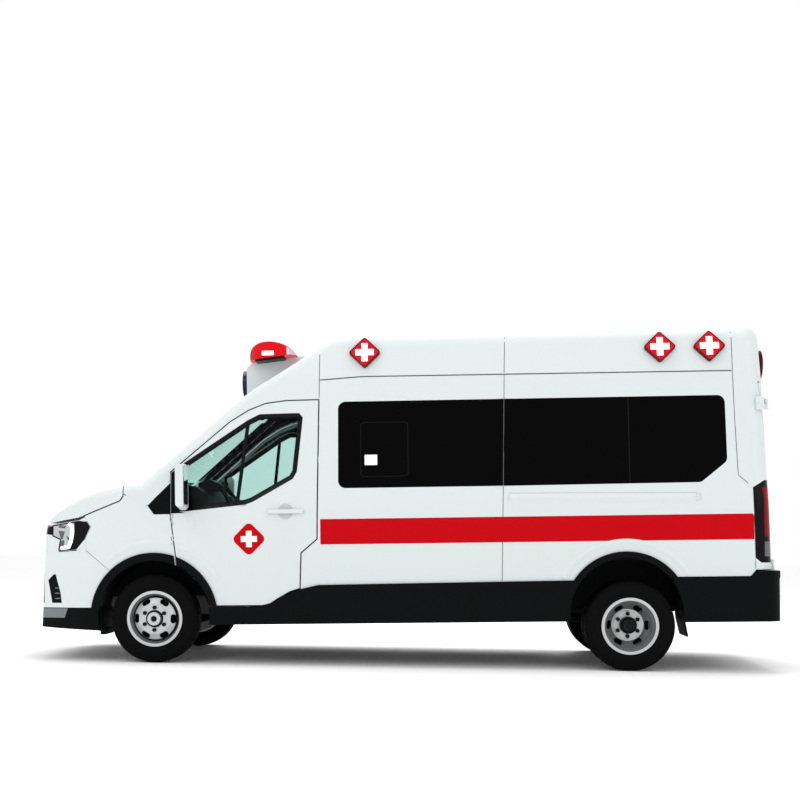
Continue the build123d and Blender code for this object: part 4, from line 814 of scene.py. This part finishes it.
# Windscreen: printed edge and a pair of wipers at rest, lines of (y, z)
SCREEN_EDGE = ((-806, 1488), (806, 1488), (748, 2096), (-748, 2096))
SCREEN_WIDTH = 46
WIPERS = (((-70, 1502), (-690, 1536)), ((560, 1500), (-20, 1530)))
WIPER_WIDTH = 18
WIPER_ROWS = (3, 13, 13, 3)
ribbon("screen_edge", SCREEN_EDGE, "front", "windshield", "body", SCREEN_WIDTH, BLACK_GLOSS, closed=True)
for number, line in enumerate(WIPERS):
    ribbon("wiper_%d" % number, line, "front", "windshield", "body", WIPER_WIDTH, BLACK, WIPER_ROWS)

# Seats: padded cushions and backs on the CAD seats' places
SEAT_Y = 430
CUSHION_SIZE = (500, 500, 150)
BACK_SIZE = (120, 480, 580)
BACK_TURN = RAKE + radians(11)
HEAD_SIZE = (90, 260, 170)
BASE_SIZE = (360, 380, 300)
for side, tag in SIDES:
    seat_y = side * SEAT_Y
    cushion = block("cushion_" + tag, (1000, seat_y, 1060), CUSHION_SIZE, CLOTH, "body", 55)
    back = block("backrest_" + tag, (1236, seat_y, 1360), BACK_SIZE, CLOTH, "body", 50, BACK_TURN)
    head = block("headrest_" + tag, (1290, seat_y, 1745), HEAD_SIZE, CLOTH, "body", 36)
    block("seat_base_" + tag, (1000, seat_y, 840), BASE_SIZE, CAB, "body", 12)
    if side == LEFT:
        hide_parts("seats")

# Mirror glasses on the housings' rear faces: width, height and corner
MIRROR_Y, MIRROR_Z = 1145, 1392
MIRROR_FACE = (170, 290, 24)
for side, tag in SIDES:
    face = rounded(side * MIRROR_Y, MIRROR_Z, *MIRROR_FACE)
    decal("mirror_face_" + tag, face, "rear", "mirror_" + tag, MIRROR, "door_" + tag)

# Plain floor, just under the tyres, and soft studio light, in metres
FLOOR = 60.0
floor_mesh = bpy.data.meshes.new("floor")
floor_mesh.from_pydata(
    [(-FLOOR, -FLOOR, 0), (FLOOR, -FLOOR, 0), (FLOOR, FLOOR, 0), (-FLOOR, FLOOR, 0)], [], [(0, 1, 2, 3)],
)
floor_mesh.materials.append(plain("floor_pale", (0.97, 0.97, 0.97), 0.9, shine=0.0))
floor = bpy.data.objects.new("floor", floor_mesh)
bpy.context.scene.collection.objects.link(floor)
floor.location.z = -MM

LIGHTS = (
    # name, place, aim, size, power
    ("key", (-6, -10, 9), (0, 0, 1.2), 7.0, 220),
    ("fill", (9, -9, 6), (0, 0, 1.2), 7.0, 90),
    ("top", (0, 1, 10), (0, 0, 1), 7.0, 500),
    ("back", (1, 9, 8), (0, 0, 0.6), 6.0, 500),
)
for name, place_at, aim, size, power in LIGHTS:
    lamp = bpy.data.lights.new(name, "AREA")
    lamp.size = size
    lamp.energy = power
    o = bpy.data.objects.new(name, lamp)
    o.location = place_at
    o.rotation_mode = "QUATERNION"
    o.rotation_quaternion = (Vector(aim) - Vector(place_at)).to_track_quat("-Z", "Y")
    bpy.context.scene.collection.objects.link(o)

world = bpy.data.worlds.new("studio")
world.use_nodes = True
background = world.node_tree.nodes["Background"]
background.inputs["Color"].default_value = (1, 1, 1, 1)
background.inputs["Strength"].default_value = 1.0
bpy.context.scene.world = world
bpy.context.scene.view_settings.view_transform = "Standard"

# Camera at the photograph's place
EYE = (0.4826, -11.2, 0.976)
cam = bpy.data.cameras.new("camera")
cam.lens = 58.6
cam.sensor_width = 36
cam.shift_x = 0.00975
cam.shift_y = 0.1786
eye = bpy.data.objects.new("camera", cam)
pan = Matrix.Rotation(radians(3.0), 4, "Z")
upright = Matrix.Rotation(radians(90), 4, "X")
roll = Matrix.Rotation(radians(0.7), 4, "Z")
eye.matrix_world = Matrix.Translation(EYE) @ pan @ upright @ roll
bpy.context.scene.collection.objects.link(eye)
bpy.context.scene.camera = eye
